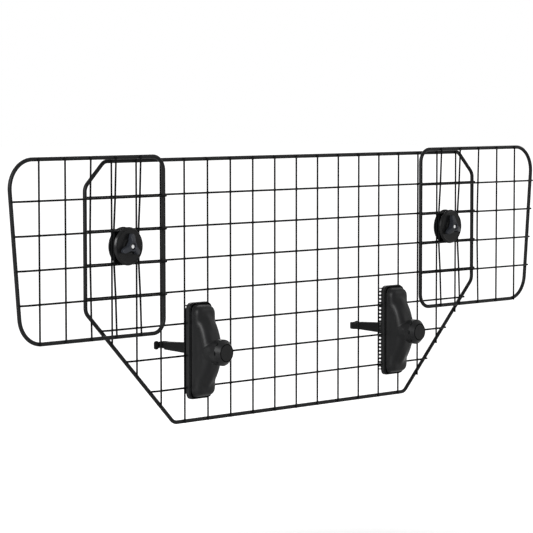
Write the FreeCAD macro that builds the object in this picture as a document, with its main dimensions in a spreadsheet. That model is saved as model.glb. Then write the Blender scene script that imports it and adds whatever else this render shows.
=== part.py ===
"""A wire guard that keeps a dog in the boot of a car.

A main panel of welded mesh hangs behind the back seat on two hooks that grip
the head-rest posts. Two mesh wings lie in front of it and slide sideways to
fit the width of the car, each held by a clamp of two discs on one bolt. Each
hook is drawn in by a knob on a casing whose teeth grip the cross wires.

X runs along the guard, +Y points from the boot towards the seats, +Z is up.
The origin is the centre of the whole guard's box. Every body is drawn about
the middle of the main frame's wire and then moved to its seat.
"""
import FreeCAD, Part
import Sketcher
import math
import os
import re

Vector = FreeCAD.Vector

# Sizes that a designer would set, in millimetres, degrees or counts.
SIZES = (
    # The welded mesh
    ("mesh_pitch", 50.0),
    ("mesh_wire", 2.4),
    ("frame_wire", 5.8),
    ("weld_bite", 0.2),
    ("wire_end_past_frame", 1.2),
    ("loose_gap", 0.3),
    ("wire_bend_radius", 14.0),
    ("crank_run", 9.0),
    # The main panel
    ("main_half_width", 449.5),
    ("main_half_height", 202.5),
    ("main_top_half_width", 411.0),
    ("main_shoulder_height", 165.0),
    ("main_side_foot_drop", 21.0),
    ("main_bottom_half_width", 270.0),
    ("main_bend_radius", 16.0),
    ("main_columns_each_side", 8),
    ("main_rows_each_side", 3),
    # The wings
    ("wing_first_column", 6),
    ("wing_rows", 4),
    ("wing_top_rise", 58.5),
    ("wing_bottom_drop", 60.0),
    ("wing_reach_top", 605.0),
    ("wing_reach_bottom", 582.0),
    ("wing_inner_bend_radius", 22.0),
    ("wing_outer_bend_radius", 42.0),
    # The disc clamps that hold the wings
    ("disc_column", 7.5),
    ("disc_row", 1.5),
    ("disc_radius", 29.0),
    ("rear_disc_thickness", 2.6),
    ("rear_boss_radius", 9.5),
    ("rear_boss_height", 4.0),
    ("disc_edge_round", 1.2),
    ("front_disc_thickness", 2.8),
    ("front_rim_width", 3.2),
    ("front_rim_height", 1.2),
    ("front_edge_round", 2.4),
    ("front_hub_radius", 11.0),
    ("front_hub_height", 0.8),
    ("disc_bolt_radius", 3.0),
    ("disc_bolt_hole_gap", 0.3),
    ("bolt_head_across", 10.0),
    ("bolt_head_height", 3.8),
    ("bolt_tip_recess", 2.2),
    ("thread_gap", 0.05),
    ("disc_knob_height", 9.4),
    ("disc_knob_hub_radius", 8.2),
    ("disc_knob_well_radius", 4.8),
    ("disc_knob_reach", 21.0),
    ("disc_knob_lobe_half_width", 5.4),
    ("disc_knob_lobe_drop", 3.8),
    ("disc_knob_lobes", 3),
    ("disc_knob_turn_angle", 84.0),
    ("disc_nut_across", 10.0),
    ("disc_nut_height", 4.0),
    ("disc_nut_back_wall", 1.0),
    ("turning_gap", 0.2),
    # The head-rest clamps: toothed base and domed cover
    ("clamp_column", 4.5),
    ("clamp_aside", 1.5),
    ("clamp_rows_down", 1),
    ("clamp_seat_valley", 4),
    ("clamp_width", 47.6),
    ("clamp_height", 150.0),
    ("clamp_corner_radius", 9.0),
    ("tooth_depth", 3.9),
    ("tooth_gap", 3.3),
    ("teeth_per_pitch", 8),
    ("top_valley_height", 68.0),
    ("tooth_end_margin", 6.5),
    ("valley_floor_gap", 0.2),
    ("base_wall", 6.5),
    ("base_edge_round", 1.2),
    ("cover_inset", 1.3),
    ("cover_plate_thickness", 2.4),
    ("dome_inset", 2.0),
    ("dome_crest", 17.0),
    ("dome_round", 9.5),
    ("dome_corner_radius", 12.0),
    ("hump_half_length", 60.0),
    ("hump_half_width", 20.5),
    ("hump_foot", 12.0),
    ("hump_crest", 35.0),
    ("hump_round", 14.0),
    ("collar_front", 39.6),
    ("collar_length", 12.0),
    ("collar_front_radius", 17.0),
    ("collar_back_radius", 20.5),
    # The hook arm and its stud
    ("arm_height", 13.6),
    ("arm_lift", 2.0),
    ("arm_width", 10.0),
    ("arm_gap", 0.2),
    ("arm_front_depth", 12.0),
    ("arm_channel_past", 6.0),
    ("claw_reach", 70.0),
    ("claw_inner_radius", 6.8),
    ("claw_outer_radius", 10.8),
    ("claw_height", 9.4),
    ("claw_tip_height", 11.4),
    ("claw_mouth_start_angle", 150.0),
    ("claw_mouth_end_angle", 236.0),
    ("claw_lip_radius", 3.2),
    ("claw_lip_out", 11.4),
    ("claw_lip_back_angle", 9.0),
    ("arm_root_past", 14.0),
    ("stud_radius", 4.0),
    ("stud_hole_gap", 0.3),
    ("stud_embedded", 9.0),
    ("stud_past_collar", 11.4),
    # The tension knob
    ("washer_thickness", 1.2),
    ("washer_radius", 12.0),
    ("knob_radius", 20.4),
    ("knob_rim_length", 10.0),
    ("knob_taper_length", 7.4),
    ("knob_end_radius", 14.2),
    ("knob_end_wall", 1.4),
    ("knob_flutes", 8),
    ("knob_flute_radius", 7.0),
    ("knob_flute_centre", 25.6),
    ("knob_nut_across", 13.0),
    ("knob_nut_height", 7.0),
    # One overrun serves every cut
    ("overrun", 5.0),
)

# Places worked out from those sizes. Each formula may name any line above it.
PLACES = (
    # Depths of the stacked wires, from the middle of the main frame's wire
    ("upright_y", "weld_bite - (frame_wire + mesh_wire) / 2"),
    ("wire_step", "mesh_wire - weld_bite"),
    ("cross_y", "upright_y - wire_step"),
    ("wing_frame_y", "cross_y - mesh_wire / 2 - loose_gap - frame_wire / 2"),
    ("wing_upright_y", "wing_frame_y + upright_y"),
    ("squeezed_upright_y", "cross_y - mesh_wire - loose_gap"),
    ("wing_bow", "squeezed_upright_y - wing_upright_y"),
    ("wing_front_y", "squeezed_upright_y - wire_step - mesh_wire / 2"),
    # Heights and reaches of the mesh
    ("main_top_row_z", "mesh_pitch * main_rows_each_side"),
    ("wing_top_z", "main_top_row_z + wing_top_rise"),
    ("wing_bottom_row_z", "main_top_row_z - mesh_pitch * (wing_rows - 1)"),
    ("wing_bottom_z", "wing_bottom_row_z - wing_bottom_drop"),
    ("wing_inner_x", "mesh_pitch * wing_first_column"),
    ("wing_mid_x", "(wing_inner_x + wing_reach_bottom) / 2"),
    ("main_side_foot_z", "-main_side_foot_drop"),
    # The disc clamp
    ("disc_x", "mesh_pitch * disc_column"),
    ("disc_z", "mesh_pitch * disc_row"),
    ("rear_disc_front_y", "upright_y + mesh_wire / 2 + loose_gap"),
    ("rear_disc_back_y", "rear_disc_front_y + rear_disc_thickness"),
    ("rear_boss_back_y", "rear_disc_back_y + rear_boss_height"),
    ("front_disc_back_y", "wing_front_y - loose_gap"),
    ("front_disc_face_y", "front_disc_back_y - front_disc_thickness"),
    ("front_hub_y", "front_disc_face_y - front_hub_height"),
    ("front_rim_y", "front_disc_face_y - front_rim_height"),
    ("front_rim_inner_radius", "disc_radius - front_rim_width"),
    ("front_disc_hole_radius", "disc_bolt_radius + disc_bolt_hole_gap"),
    ("disc_knob_back_y", "front_hub_y - turning_gap"),
    ("disc_knob_front_y", "disc_knob_back_y - disc_knob_height"),
    ("disc_knob_slope_radius", "disc_knob_reach + overrun"),
    ("disc_knob_slope", "disc_knob_lobe_drop / (disc_knob_reach - disc_knob_hub_radius)"),
    ("disc_knob_slope_run", "disc_knob_slope_radius - disc_knob_hub_radius"),
    ("disc_knob_slope_y", "disc_knob_front_y + disc_knob_slope * disc_knob_slope_run"),
    ("disc_knob_over_y", "disc_knob_front_y - overrun"),
    ("disc_thread_radius", "disc_bolt_radius + thread_gap"),
    ("disc_nut_back_y", "disc_knob_back_y - disc_nut_back_wall"),
    ("disc_nut_front_y", "disc_nut_back_y - disc_nut_height"),
    ("disc_bolt_tip_y", "disc_knob_front_y + bolt_tip_recess"),
    ("disc_bolt_head_y", "rear_boss_back_y - bolt_head_height"),
    # The head-rest clamp
    ("clamp_x", "mesh_pitch * clamp_column + clamp_aside"),
    ("clamp_half_width", "clamp_width / 2"),
    ("tooth_half_width", "(mesh_pitch - mesh_wire) / 2 - loose_gap - clamp_aside"),
    ("clamp_half_height", "clamp_height / 2"),
    ("valley_y", "cross_y - mesh_wire / 2 - valley_floor_gap"),
    ("tooth_tip_y", "valley_y + tooth_depth"),
    ("base_front_y", "valley_y - base_wall"),
    ("tooth_pitch", "mesh_pitch / teeth_per_pitch"),
    ("tooth_row_length", "clamp_half_height + top_valley_height - tooth_end_margin"),
    ("tooth_valleys", "floor(tooth_row_length / tooth_pitch) + 1"),
    ("tooth_row_top_z", "top_valley_height + tooth_pitch / 2"),
    ("tooth_row_bottom_z", "tooth_row_top_z - tooth_pitch * tooth_valleys"),
    ("seat_valley_height", "top_valley_height - tooth_pitch * clamp_seat_valley"),
    ("clamp_z", "-mesh_pitch * clamp_rows_down - seat_valley_height"),
    ("valley_top_z", "top_valley_height + tooth_gap / 2"),
    ("valley_bottom_z", "top_valley_height - tooth_gap / 2"),
    ("valley_mouth_y", "tooth_tip_y + overrun"),
    ("cover_plate_y", "base_front_y - cover_plate_thickness"),
    ("cover_plate_half_width", "clamp_half_width - cover_inset"),
    ("cover_plate_half_height", "clamp_half_height - cover_inset"),
    ("cover_plate_corner", "clamp_corner_radius - cover_inset"),
    ("dome_half_width", "clamp_half_width - dome_inset"),
    ("dome_half_height", "clamp_half_height - dome_inset"),
    ("dome_front_y", "base_front_y - dome_crest"),
    ("hump_foot_y", "base_front_y - hump_foot"),
    ("hump_crest_y", "base_front_y - hump_crest"),
    ("collar_front_y", "base_front_y - collar_front"),
    ("collar_back_y", "collar_front_y + collar_length"),
    # The hook
    ("arm_front_y", "base_front_y - arm_front_depth"),
    ("arm_channel_y", "arm_front_y - arm_channel_past"),
    ("channel_half_width", "arm_width / 2 + arm_gap"),
    ("arm_top_z", "arm_lift + arm_height / 2"),
    ("arm_bottom_z", "arm_lift - arm_height / 2"),
    ("channel_top_z", "arm_top_z + arm_gap"),
    ("channel_bottom_z", "arm_bottom_z - arm_gap"),
    ("arm_root_y", "tooth_tip_y + arm_root_past"),
    ("claw_top_z", "arm_lift + claw_height / 2"),
    ("claw_bottom_z", "arm_lift - claw_height / 2"),
    ("claw_mouth_radius", "claw_outer_radius + overrun"),
    ("claw_mouth_start_x", "claw_mouth_radius * cos(claw_mouth_start_angle * 1 deg)"),
    ("claw_mouth_start_y", "claw_reach + claw_mouth_radius * sin(claw_mouth_start_angle * 1 deg)"),
    ("claw_mouth_end_x", "claw_mouth_radius * cos(claw_mouth_end_angle * 1 deg)"),
    ("claw_mouth_end_y", "claw_reach + claw_mouth_radius * sin(claw_mouth_end_angle * 1 deg)"),
    ("claw_lip_angle", "claw_mouth_start_angle - claw_lip_back_angle"),
    ("claw_lip_x", "claw_lip_out * cos(claw_lip_angle * 1 deg)"),
    ("claw_lip_y", "claw_reach + claw_lip_out * sin(claw_lip_angle * 1 deg)"),
    ("stud_tip_y", "collar_front_y - stud_past_collar"),
    ("stud_root_y", "arm_front_y + stud_embedded"),
    ("stud_hole_radius", "stud_radius + stud_hole_gap"),
    ("stud_thread_radius", "stud_radius + thread_gap"),
    # The tension knob
    ("washer_back_y", "collar_front_y - turning_gap"),
    ("washer_front_y", "washer_back_y - washer_thickness"),
    ("knob_back_y", "washer_front_y"),
    ("knob_rim_y", "knob_back_y - knob_rim_length"),
    ("knob_end_y", "knob_rim_y - knob_taper_length"),
    ("knob_nut_front_y", "knob_back_y - knob_nut_height"),
    ("knob_well_y", "knob_end_y + knob_end_wall"),
    ("knob_well_radius", "stud_radius + turning_gap"),
    # Where the guard's middle lies, seen from the middle of the main frame's wire
    ("guard_back_y", "claw_reach + claw_outer_radius"),
    ("guard_top_z", "wing_top_z + frame_wire / 2"),
    ("guard_bottom_z", "-(main_half_height + frame_wire / 2)"),
    ("shift_y", "-(guard_back_y + knob_end_y) / 2"),
    ("shift_z", "-(guard_top_z + guard_bottom_z) / 2"),
)

# How far the wings' mesh is pressed back at each wire, as shares of the whole
# squeeze. The rows run downwards, and the columns run outwards from the inner side.
BOW_ROW_SHARES = (0.42, 1.0, 1.0, 0.42)
BOW_COLUMN_SHARES = (1.0, 1.0, 0.45, 0.12, 0.0)

doc = FreeCAD.newDocument("DogGuard")
sizes = doc.addObject("Spreadsheet::Sheet", "Sizes")
places = doc.addObject("Spreadsheet::Sheet", "Places")
size_names = [name for name, number in SIZES]
place_names = [name for name, formula in PLACES]


def named(formula):
    """Put the sheet's name before each size or place that a formula names."""
    def full_name(match):
        word = match.group(0)
        if word in size_names:
            return "Sizes." + word
        if word in place_names:
            return "Places." + word
        return word
    return re.sub(r"[A-Za-z_][A-Za-z_0-9]*", full_name, formula)


def fill_sheets():
    for row, (name, number) in enumerate(SIZES, start=1):
        sizes.set(f"A{row}", name)
        sizes.set(f"B{row}", str(number))
        sizes.setAlias(f"B{row}", name)
    doc.recompute()
    for row, (name, formula) in enumerate(PLACES, start=1):
        places.set(f"A{row}", name)
        places.set(f"B{row}", "=" + named(formula).replace("Places.", ""))
        places.setAlias(f"B{row}", name)
        places.recompute()
    doc.recompute()


def size(name):
    """The number of a named size or place, or its opposite after a minus sign."""
    if name.startswith("-"):
        return -size(name[1:])
    sheet = sizes if name in size_names else places
    return float(sheet.get(name))


def bind(target, prop, formula):
    target.setExpression(prop, named(formula))


# Bodies, sketches and features

def loose_body(label):
    body = doc.addObject("PartDesign::Body", label)
    body.Label = label
    return body


def new_body(label, x=None, z="0"):
    """A body whose own origin is seated at x and z on the guard."""
    body = loose_body(label)
    if x:
        bind(body, "Placement.Base.x", x)
    bind(body, "Placement.Base.y", "shift_y")
    bind(body, "Placement.Base.z", f"({z}) + shift_z")
    return body


def origin_feature(body, role):
    return next(item for item in body.Origin.OriginFeatures if item.Role == role)


def new_sketch(body, label, plane, offset=None):
    """A sketch on one of the body's planes, moved along the plane's normal."""
    sketch = body.newObject("Sketcher::SketchObject", f"{body.Name}_{label}")
    sketch.AttachmentSupport = [(origin_feature(body, plane), "")]
    sketch.MapMode = "FlatFace"
    if offset:
        bind(sketch, "AttachmentOffset.Base.z", offset)
    return sketch


def fix_point(sketch, geometry, end, x, y):
    """Hold one end of a line, or a centre, at named distances from the origin."""
    for kind, name in (("DistanceX", x), ("DistanceY", y)):
        axis = -2 if kind == "DistanceX" else -1
        if name == "0":
            sketch.addConstraint(Sketcher.Constraint("PointOnObject", geometry, end, axis))
        else:
            index = sketch.addConstraint(
                Sketcher.Constraint(kind, -1, 1, geometry, end, size(name)))
            bind(sketch, f"Constraints[{index}]", name)


def number(name):
    return 0.0 if name == "0" else size(name)


def polygon(sketch, points):
    """A closed outline through points that are pairs of named distances."""
    corners = [Vector(number(x), number(y), 0) for x, y in points]
    first = sketch.GeometryCount
    for start, end in zip(corners, corners[1:] + corners[:1]):
        sketch.addGeometry(Part.LineSegment(start, end), False)
    for index, (x, y) in enumerate(points):
        before = first + (index - 1) % len(points)
        sketch.addConstraint(Sketcher.Constraint("Coincident", before, 2, first + index, 1))
        fix_point(sketch, first + index, 1, x, y)


def circle(sketch, radius, x="0", y="0"):
    centre = Vector(number(x), number(y), 0)
    index = sketch.addGeometry(Part.Circle(centre, Vector(0, 0, 1), size(radius)), False)
    if x == "0" and y == "0":
        sketch.addConstraint(Sketcher.Constraint("Coincident", index, 3, -1, 1))
    else:
        fix_point(sketch, index, 3, x, y)
    radius_index = sketch.addConstraint(Sketcher.Constraint("Radius", index, size(radius)))
    bind(sketch, f"Constraints[{radius_index}]", radius)


def hexagon(sketch, across):
    """A regular hexagon about the origin, flat at top and bottom."""
    reach = size(across) / math.sqrt(3)
    angles = [math.radians(60 * step) for step in range(6)]
    corners = [Vector(reach * math.cos(angle), reach * math.sin(angle), 0) for angle in angles]
    for start, end in zip(corners, corners[1:] + corners[:1]):
        sketch.addGeometry(Part.LineSegment(start, end), False)
    guide = sketch.addGeometry(Part.Circle(Vector(), Vector(0, 0, 1), reach), True)
    for side in range(6):
        sketch.addConstraint(Sketcher.Constraint("Coincident", (side - 1) % 6, 2, side, 1))
        sketch.addConstraint(Sketcher.Constraint("PointOnObject", side, 1, guide))
    for side in range(5):
        sketch.addConstraint(Sketcher.Constraint("Equal", side, side + 1))
    sketch.addConstraint(Sketcher.Constraint("Coincident", guide, 3, -1, 1))
    sketch.addConstraint(Sketcher.Constraint("PointOnObject", 0, 1, -1))
    radius_index = sketch.addConstraint(Sketcher.Constraint("Radius", guide, reach))
    bind(sketch, f"Constraints[{radius_index}]", f"{across} / sqrt(3)")


def rounded_outline(sketch, corners):
    """A closed outline of straight runs joined by tangent arcs.

    Each corner is a pair of named distances and the name of its bend radius,
    or no radius where two runs only meet in line. Thin guide lines join the
    corners, and each run lies on its guide.
    """
    count = len(corners)
    points = [Vector(number(x), number(y), 0) for x, y, radius in corners]
    runs = []
    for index in range(count):
        here, there = points[index], points[(index + 1) % count]
        start = here + tangent_step(points, corners, index, 1)
        end = there + tangent_step(points, corners, (index + 1) % count, -1)
        runs.append(sketch.addGeometry(Part.LineSegment(start, end), False))
    arcs = {}
    for index, (x, y, radius) in enumerate(corners):
        if radius:
            arcs[index] = sketch.addGeometry(corner_arc(points, corners, index), False)
    guides = [sketch.addGeometry(Part.LineSegment(points[index], points[(index + 1) % count]), True)
              for index in range(count)]
    for index, (x, y, radius) in enumerate(corners):
        before = (index - 1) % count
        sketch.addConstraint(Sketcher.Constraint("Coincident", guides[before], 2, guides[index], 1))
        fix_point(sketch, guides[index], 1, x, y)
        if not radius:
            sketch.addConstraint(Sketcher.Constraint("Coincident", runs[before], 2, guides[index], 1))
            sketch.addConstraint(Sketcher.Constraint("Coincident", runs[index], 1, guides[index], 1))
            continue
        arc = arcs[index]
        sketch.addConstraint(Sketcher.Constraint("PointOnObject", runs[before], 2, guides[before]))
        sketch.addConstraint(Sketcher.Constraint("PointOnObject", runs[index], 1, guides[index]))
        ends = (1, 2) if turns_left(points, index) else (2, 1)
        sketch.addConstraint(Sketcher.Constraint("Tangent", runs[before], 2, arc, ends[0]))
        sketch.addConstraint(Sketcher.Constraint("Tangent", arc, ends[1], runs[index], 1))
        radius_index = sketch.addConstraint(Sketcher.Constraint("Radius", arc, size(radius)))
        bind(sketch, f"Constraints[{radius_index}]", radius)


def directions(points, index):
    """Unit directions from a corner back to the last one and on to the next."""
    here = points[index]
    back = (points[index - 1] - here).normalize()
    on = (points[(index + 1) % len(points)] - here).normalize()
    return back, on


def turns_left(points, index):
    back, on = directions(points, index)
    return (-back.x) * on.y - (-back.y) * on.x > 0


def tangent_length(points, corners, index):
    radius = corners[index][2]
    if not radius:
        return 0.0
    back, on = directions(points, index)
    return size(radius) / math.tan(back.getAngle(on) / 2)


def tangent_step(points, corners, index, way):
    back, on = directions(points, index)
    return (on if way > 0 else back) * tangent_length(points, corners, index)


def corner_arc(points, corners, index):
    back, on = directions(points, index)
    radius = size(corners[index][2])
    centre = points[index] + (back + on).normalize() * (radius / math.sin(back.getAngle(on) / 2))
    start = points[index] + back * tangent_length(points, corners, index)
    end = points[index] + on * tangent_length(points, corners, index)
    if not turns_left(points, index):
        start, end = end, start
    turn = Part.Circle(centre, Vector(0, 0, 1), radius)
    first = math.atan2(start.y - centre.y, start.x - centre.x)
    last = math.atan2(end.y - centre.y, end.x - centre.x)
    return Part.ArcOfCircle(turn, first, last)


def pad(body, sketch, label, length):
    """Add towards -Y from a sketch on the XZ plane."""
    feature = body.newObject("PartDesign::Pad", f"{body.Name}_{label}")
    feature.Profile = sketch
    bind(feature, "Length", length)
    return feature


def pocket(body, sketch, label, length, reverse=False, both_ways=False):
    """Cut towards +Y from a sketch on the XZ plane, or towards -Y if reversed."""
    feature = body.newObject("PartDesign::Pocket", f"{body.Name}_{label}")
    feature.Profile = sketch
    bind(feature, "Length", length)
    feature.Reversed = reverse
    feature.Midplane = both_ways
    return feature


def revolve(body, sketch, label, cut=False):
    """Turn a profile on the YZ plane about the body's Y axis."""
    kind = "PartDesign::Groove" if cut else "PartDesign::Revolution"
    feature = body.newObject(kind, f"{body.Name}_{label}")
    feature.Profile = sketch
    feature.ReferenceAxis = (sketch, ["H_Axis"])
    feature.Angle = 360.0
    return feature


def polar_pattern(body, feature, count, label):
    pattern = body.newObject("PartDesign::PolarPattern", f"{body.Name}_{label}")
    pattern.Originals = [feature]
    pattern.Axis = (origin_feature(body, "Y_Axis"), [""])
    pattern.Angle = 360.0
    bind(pattern, "Occurrences", count)
    body.Tip = pattern
    return pattern


def round_edges(body, feature, label, radius, chosen):
    """Round the edges of a feature that a test picks out."""
    doc.recompute()
    names = [f"Edge{index}" for index, edge in enumerate(feature.Shape.Edges, start=1)
             if chosen(edge)]
    fillet = body.newObject("PartDesign::Fillet", f"{body.Name}_{label}")
    fillet.Base = (feature, names)
    bind(fillet, "Radius", radius)
    return fillet


def at_depth(edge, name):
    """Whether an edge lies wholly at one named depth."""
    return all(abs(corner.Y - size(name)) < 0.01 for corner in edge.Vertexes) and \
        abs(edge.CenterOfMass.y - size(name)) < 0.01


def mirrored(source, label):
    """The same piece on the guard's other side."""
    copy = doc.addObject("Part::Mirroring", label)
    copy.Label = label
    copy.Source = source
    copy.Normal = Vector(1, 0, 0)
    copy.Base = Vector(0, 0, 0)
    return copy


# Bent wires

def bent_path(points, radius):
    """Straight runs through points, joined by tangent arcs."""
    edges = []
    start = points[0]
    for index in range(1, len(points) - 1):
        here = points[index]
        back = (points[index - 1] - here).normalize()
        on = (points[index + 1] - here).normalize()
        angle = back.getAngle(on)
        if math.pi - angle < 1e-6:
            continue
        cut = radius / math.tan(angle / 2)
        centre = here + (back + on).normalize() * (radius / math.sin(angle / 2))
        middle = centre + (here - centre).normalize() * radius
        first, last = here + back * cut, here + on * cut
        edges.append(Part.LineSegment(start, first).toShape())
        edges.append(Part.Arc(first, middle, last).toShape())
        start = last
    edges.append(Part.LineSegment(start, points[-1]).toShape())
    return Part.Wire(edges)


def wire_solid(points, diameter, radius):
    path = bent_path(points, radius)
    along = points[1] - points[0]
    ring = Part.Wire(Part.Circle(points[0], along, diameter / 2).toShape())
    return path.makePipeShell([ring], True, False)


def wire_group(label, wires):
    """One named node that holds a set of separate wires."""
    group = doc.addObject("Part::Feature", label)
    group.Label = label
    group.Shape = Part.makeCompound(wires)
    group.Placement = FreeCAD.Placement(Vector(0, size("shift_y"), size("shift_z")),
                                        FreeCAD.Rotation())
    return group


def end_past_frame():
    """How far a mesh wire runs on from the middle of the frame's wire."""
    return size("frame_wire") / 2 + size("wire_end_past_frame")


# The main panel

def make_main_frame():
    body = new_body("main_frame")
    path = new_sketch(body, "path", "XZ_Plane")
    rounded_outline(path, (
        ("0", "main_half_height", None),
        ("-main_top_half_width", "main_half_height", "main_bend_radius"),
        ("-main_half_width", "main_shoulder_height", "main_bend_radius"),
        ("-main_half_width", "main_side_foot_z", "main_bend_radius"),
        ("-main_bottom_half_width", "-main_half_height", "main_bend_radius"),
        ("main_bottom_half_width", "-main_half_height", "main_bend_radius"),
        ("main_half_width", "main_side_foot_z", "main_bend_radius"),
        ("main_half_width", "main_shoulder_height", "main_bend_radius"),
        ("main_top_half_width", "main_half_height", "main_bend_radius"),
    ))
    ring = new_sketch(body, "ring", "YZ_Plane")
    add_wire_ring(ring, "0", "main_half_height")
    pipe_along(body, path, ring)
    return body


def add_wire_ring(sketch, y, z):
    """The round section of a frame's wire."""
    index = sketch.addGeometry(
        Part.Circle(Vector(number(y), number(z), 0), Vector(0, 0, 1), size("frame_wire") / 2), False)
    fix_point(sketch, index, 3, y, z)
    radius_index = sketch.addConstraint(
        Sketcher.Constraint("Radius", index, size("frame_wire") / 2))
    bind(sketch, f"Constraints[{radius_index}]", "frame_wire / 2")


def pipe_along(body, path, ring):
    doc.recompute()
    pipe = body.newObject("PartDesign::AdditivePipe", f"{body.Name}_pipe")
    pipe.Profile = ring
    pipe.Spine = (path, [f"Edge{index}" for index in range(1, len(path.Shape.Edges) + 1)])
    return pipe


def diagonal_reach(x):
    """How far the main frame's lower corners cut in: the frame's depth at x."""
    foot, bottom = size("main_half_width"), size("main_bottom_half_width")
    low, high = -size("main_half_height"), size("main_side_foot_z")
    if x <= bottom:
        return low
    return low + (high - low) * (x - bottom) / (foot - bottom)


def diagonal_half_width(z):
    """Half the main panel's width at a height."""
    foot, bottom = size("main_half_width"), size("main_bottom_half_width")
    low, high = -size("main_half_height"), size("main_side_foot_z")
    if z >= high:
        return foot
    return bottom + (foot - bottom) * (z - low) / (high - low)


def slanted_end():
    """The same as end_past_frame, measured along a wire that meets a diagonal."""
    rise = size("main_half_height") - size("main_side_foot_drop")
    run = size("main_half_width") - size("main_bottom_half_width")
    return end_past_frame() * math.hypot(rise, run) / run


def make_main_uprights():
    wires = []
    each_side = int(size("main_columns_each_side"))
    top = size("main_half_height") + end_past_frame()
    for column in range(-each_side, each_side + 1):
        x = column * size("mesh_pitch")
        slanted = abs(x) > size("main_bottom_half_width")
        past = slanted_end() if slanted else end_past_frame()
        bottom = diagonal_reach(abs(x)) - past
        ends = [Vector(x, size("upright_y"), top), Vector(x, size("upright_y"), bottom)]
        wires.append(wire_solid(ends, size("mesh_wire"), size("wire_bend_radius")))
    return wire_group("main_uprights", wires)


def make_main_cross_wires():
    """Wires across the uprights, whose ends step back on to the frame."""
    wires = []
    each_side = int(size("main_rows_each_side"))
    for row in range(-each_side, each_side + 1):
        z = row * size("mesh_pitch")
        half = diagonal_half_width(z)
        past = slanted_end() if z < size("main_side_foot_z") else end_past_frame()
        points = cranked_points(-half - past, half + past, -half, half, z,
                                size("upright_y"), size("cross_y"))
        wires.append(wire_solid(points, size("mesh_wire"), size("wire_bend_radius")))
    return wire_group("main_cross_wires", wires)


def cranked_points(start, end, first_seat, last_seat, z, seat_y, field_y):
    """A cross wire's route: along the frame, a short crank, and over the uprights."""
    clear = size("frame_wire") / 2
    run = size("crank_run")
    return [
        Vector(start, seat_y, z),
        Vector(first_seat + clear, seat_y, z),
        Vector(first_seat + clear + run, field_y, z),
        Vector(last_seat - clear - run, field_y, z),
        Vector(last_seat - clear, seat_y, z),
        Vector(end, seat_y, z),
    ]


# The wings

def wing_columns(reach):
    """How many upright places lie inside the wing's frame at a reach."""
    clear = size("frame_wire") / 2 + size("crank_run")
    return math.ceil((reach - clear - size("wing_inner_x")) / size("mesh_pitch")) - 1


def bow_share(column):
    return BOW_COLUMN_SHARES[column - 1] if column <= len(BOW_COLUMN_SHARES) else 0.0


def wing_reach(z):
    """How far the wing's slanted outer side lies from the guard's middle."""
    low, high = size("wing_bottom_z"), size("wing_top_z")
    share = (z - low) / (high - low)
    return size("wing_reach_bottom") + (size("wing_reach_top") - size("wing_reach_bottom")) * share


def make_wing_frame():
    body = new_body("left_wing_frame")
    path = new_sketch(body, "path", "XZ_Plane", "-wing_frame_y")
    rounded_outline(path, (
        ("-wing_mid_x", "wing_top_z", None),
        ("-wing_reach_top", "wing_top_z", "wing_outer_bend_radius"),
        ("-wing_reach_bottom", "wing_bottom_z", "wing_outer_bend_radius"),
        ("-wing_inner_x", "wing_bottom_z", "wing_inner_bend_radius"),
        ("-wing_inner_x", "wing_top_z", "wing_inner_bend_radius"),
    ))
    ring = new_sketch(body, "ring", "YZ_Plane", "-wing_mid_x")
    add_wire_ring(ring, "wing_frame_y", "wing_top_z")
    pipe_along(body, path, ring)
    return body


def make_wing_uprights():
    wires = []
    past = end_past_frame()
    top, bottom = size("wing_top_z"), size("wing_bottom_z")
    rows = [size("main_top_row_z") - row * size("mesh_pitch") for row in range(int(size("wing_rows")))]
    heights = [top + past] + rows + [bottom - past]
    shares = (0.0,) + BOW_ROW_SHARES + (0.0,)
    for column in range(1, wing_columns(size("wing_reach_bottom")) + 1):
        x = -(size("wing_inner_x") + column * size("mesh_pitch"))
        bow = size("wing_bow") * bow_share(column)
        points = [Vector(x, size("wing_upright_y") + bow * share, z)
                  for z, share in zip(heights, shares)]
        wires.append(wire_solid(points, size("mesh_wire"), size("mesh_pitch")))
    return wire_group("left_wing_uprights", wires)


def make_wing_cross_wires():
    wires = []
    past = end_past_frame()
    crank = size("frame_wire") / 2 + size("crank_run")
    seat_y = size("wing_upright_y")
    field_y = seat_y - size("wire_step")
    for row, row_share in enumerate(BOW_ROW_SHARES):
        z = size("main_top_row_z") - row * size("mesh_pitch")
        inner, outer = size("wing_inner_x"), wing_reach(z)
        bow = size("wing_bow") * row_share
        points = [
            Vector(-(inner - past), seat_y, z),
            Vector(-(inner + size("frame_wire") / 2), seat_y, z),
        ]
        for column in range(1, wing_columns(outer) + 1):
            x = inner + column * size("mesh_pitch")
            points.append(Vector(-x, field_y + bow * bow_share(column), z))
        points += [
            Vector(-(outer - crank), field_y, z),
            Vector(-(outer - size("frame_wire") / 2), seat_y, z),
            Vector(-(outer + past), seat_y, z),
        ]
        wires.append(wire_solid(points, size("mesh_wire"), size("wire_bend_radius")))
    return wire_group("left_wing_cross_wires", wires)


# The disc clamps

def make_rear_disc():
    body = new_body("left_rear_disc", "-disc_x", "disc_z")
    profile = new_sketch(body, "profile", "YZ_Plane")
    polygon(profile, (
        ("rear_disc_front_y", "front_disc_hole_radius"),
        ("rear_disc_front_y", "disc_radius"),
        ("rear_disc_back_y", "disc_radius"),
        ("rear_disc_back_y", "rear_boss_radius"),
        ("rear_boss_back_y", "rear_boss_radius"),
        ("rear_boss_back_y", "front_disc_hole_radius"),
    ))
    disc = revolve(body, profile, "disc")
    recess = new_sketch(body, "recess", "XZ_Plane", "-rear_boss_back_y")
    hexagon(recess, "bolt_head_across")
    cut = pocket(body, recess, "seat", "bolt_head_height", reverse=True)
    round_edges(body, cut, "rounds", "disc_edge_round",
                lambda edge: edge.BoundBox.ZLength > 1.9 * size("disc_radius"))
    return body


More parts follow.
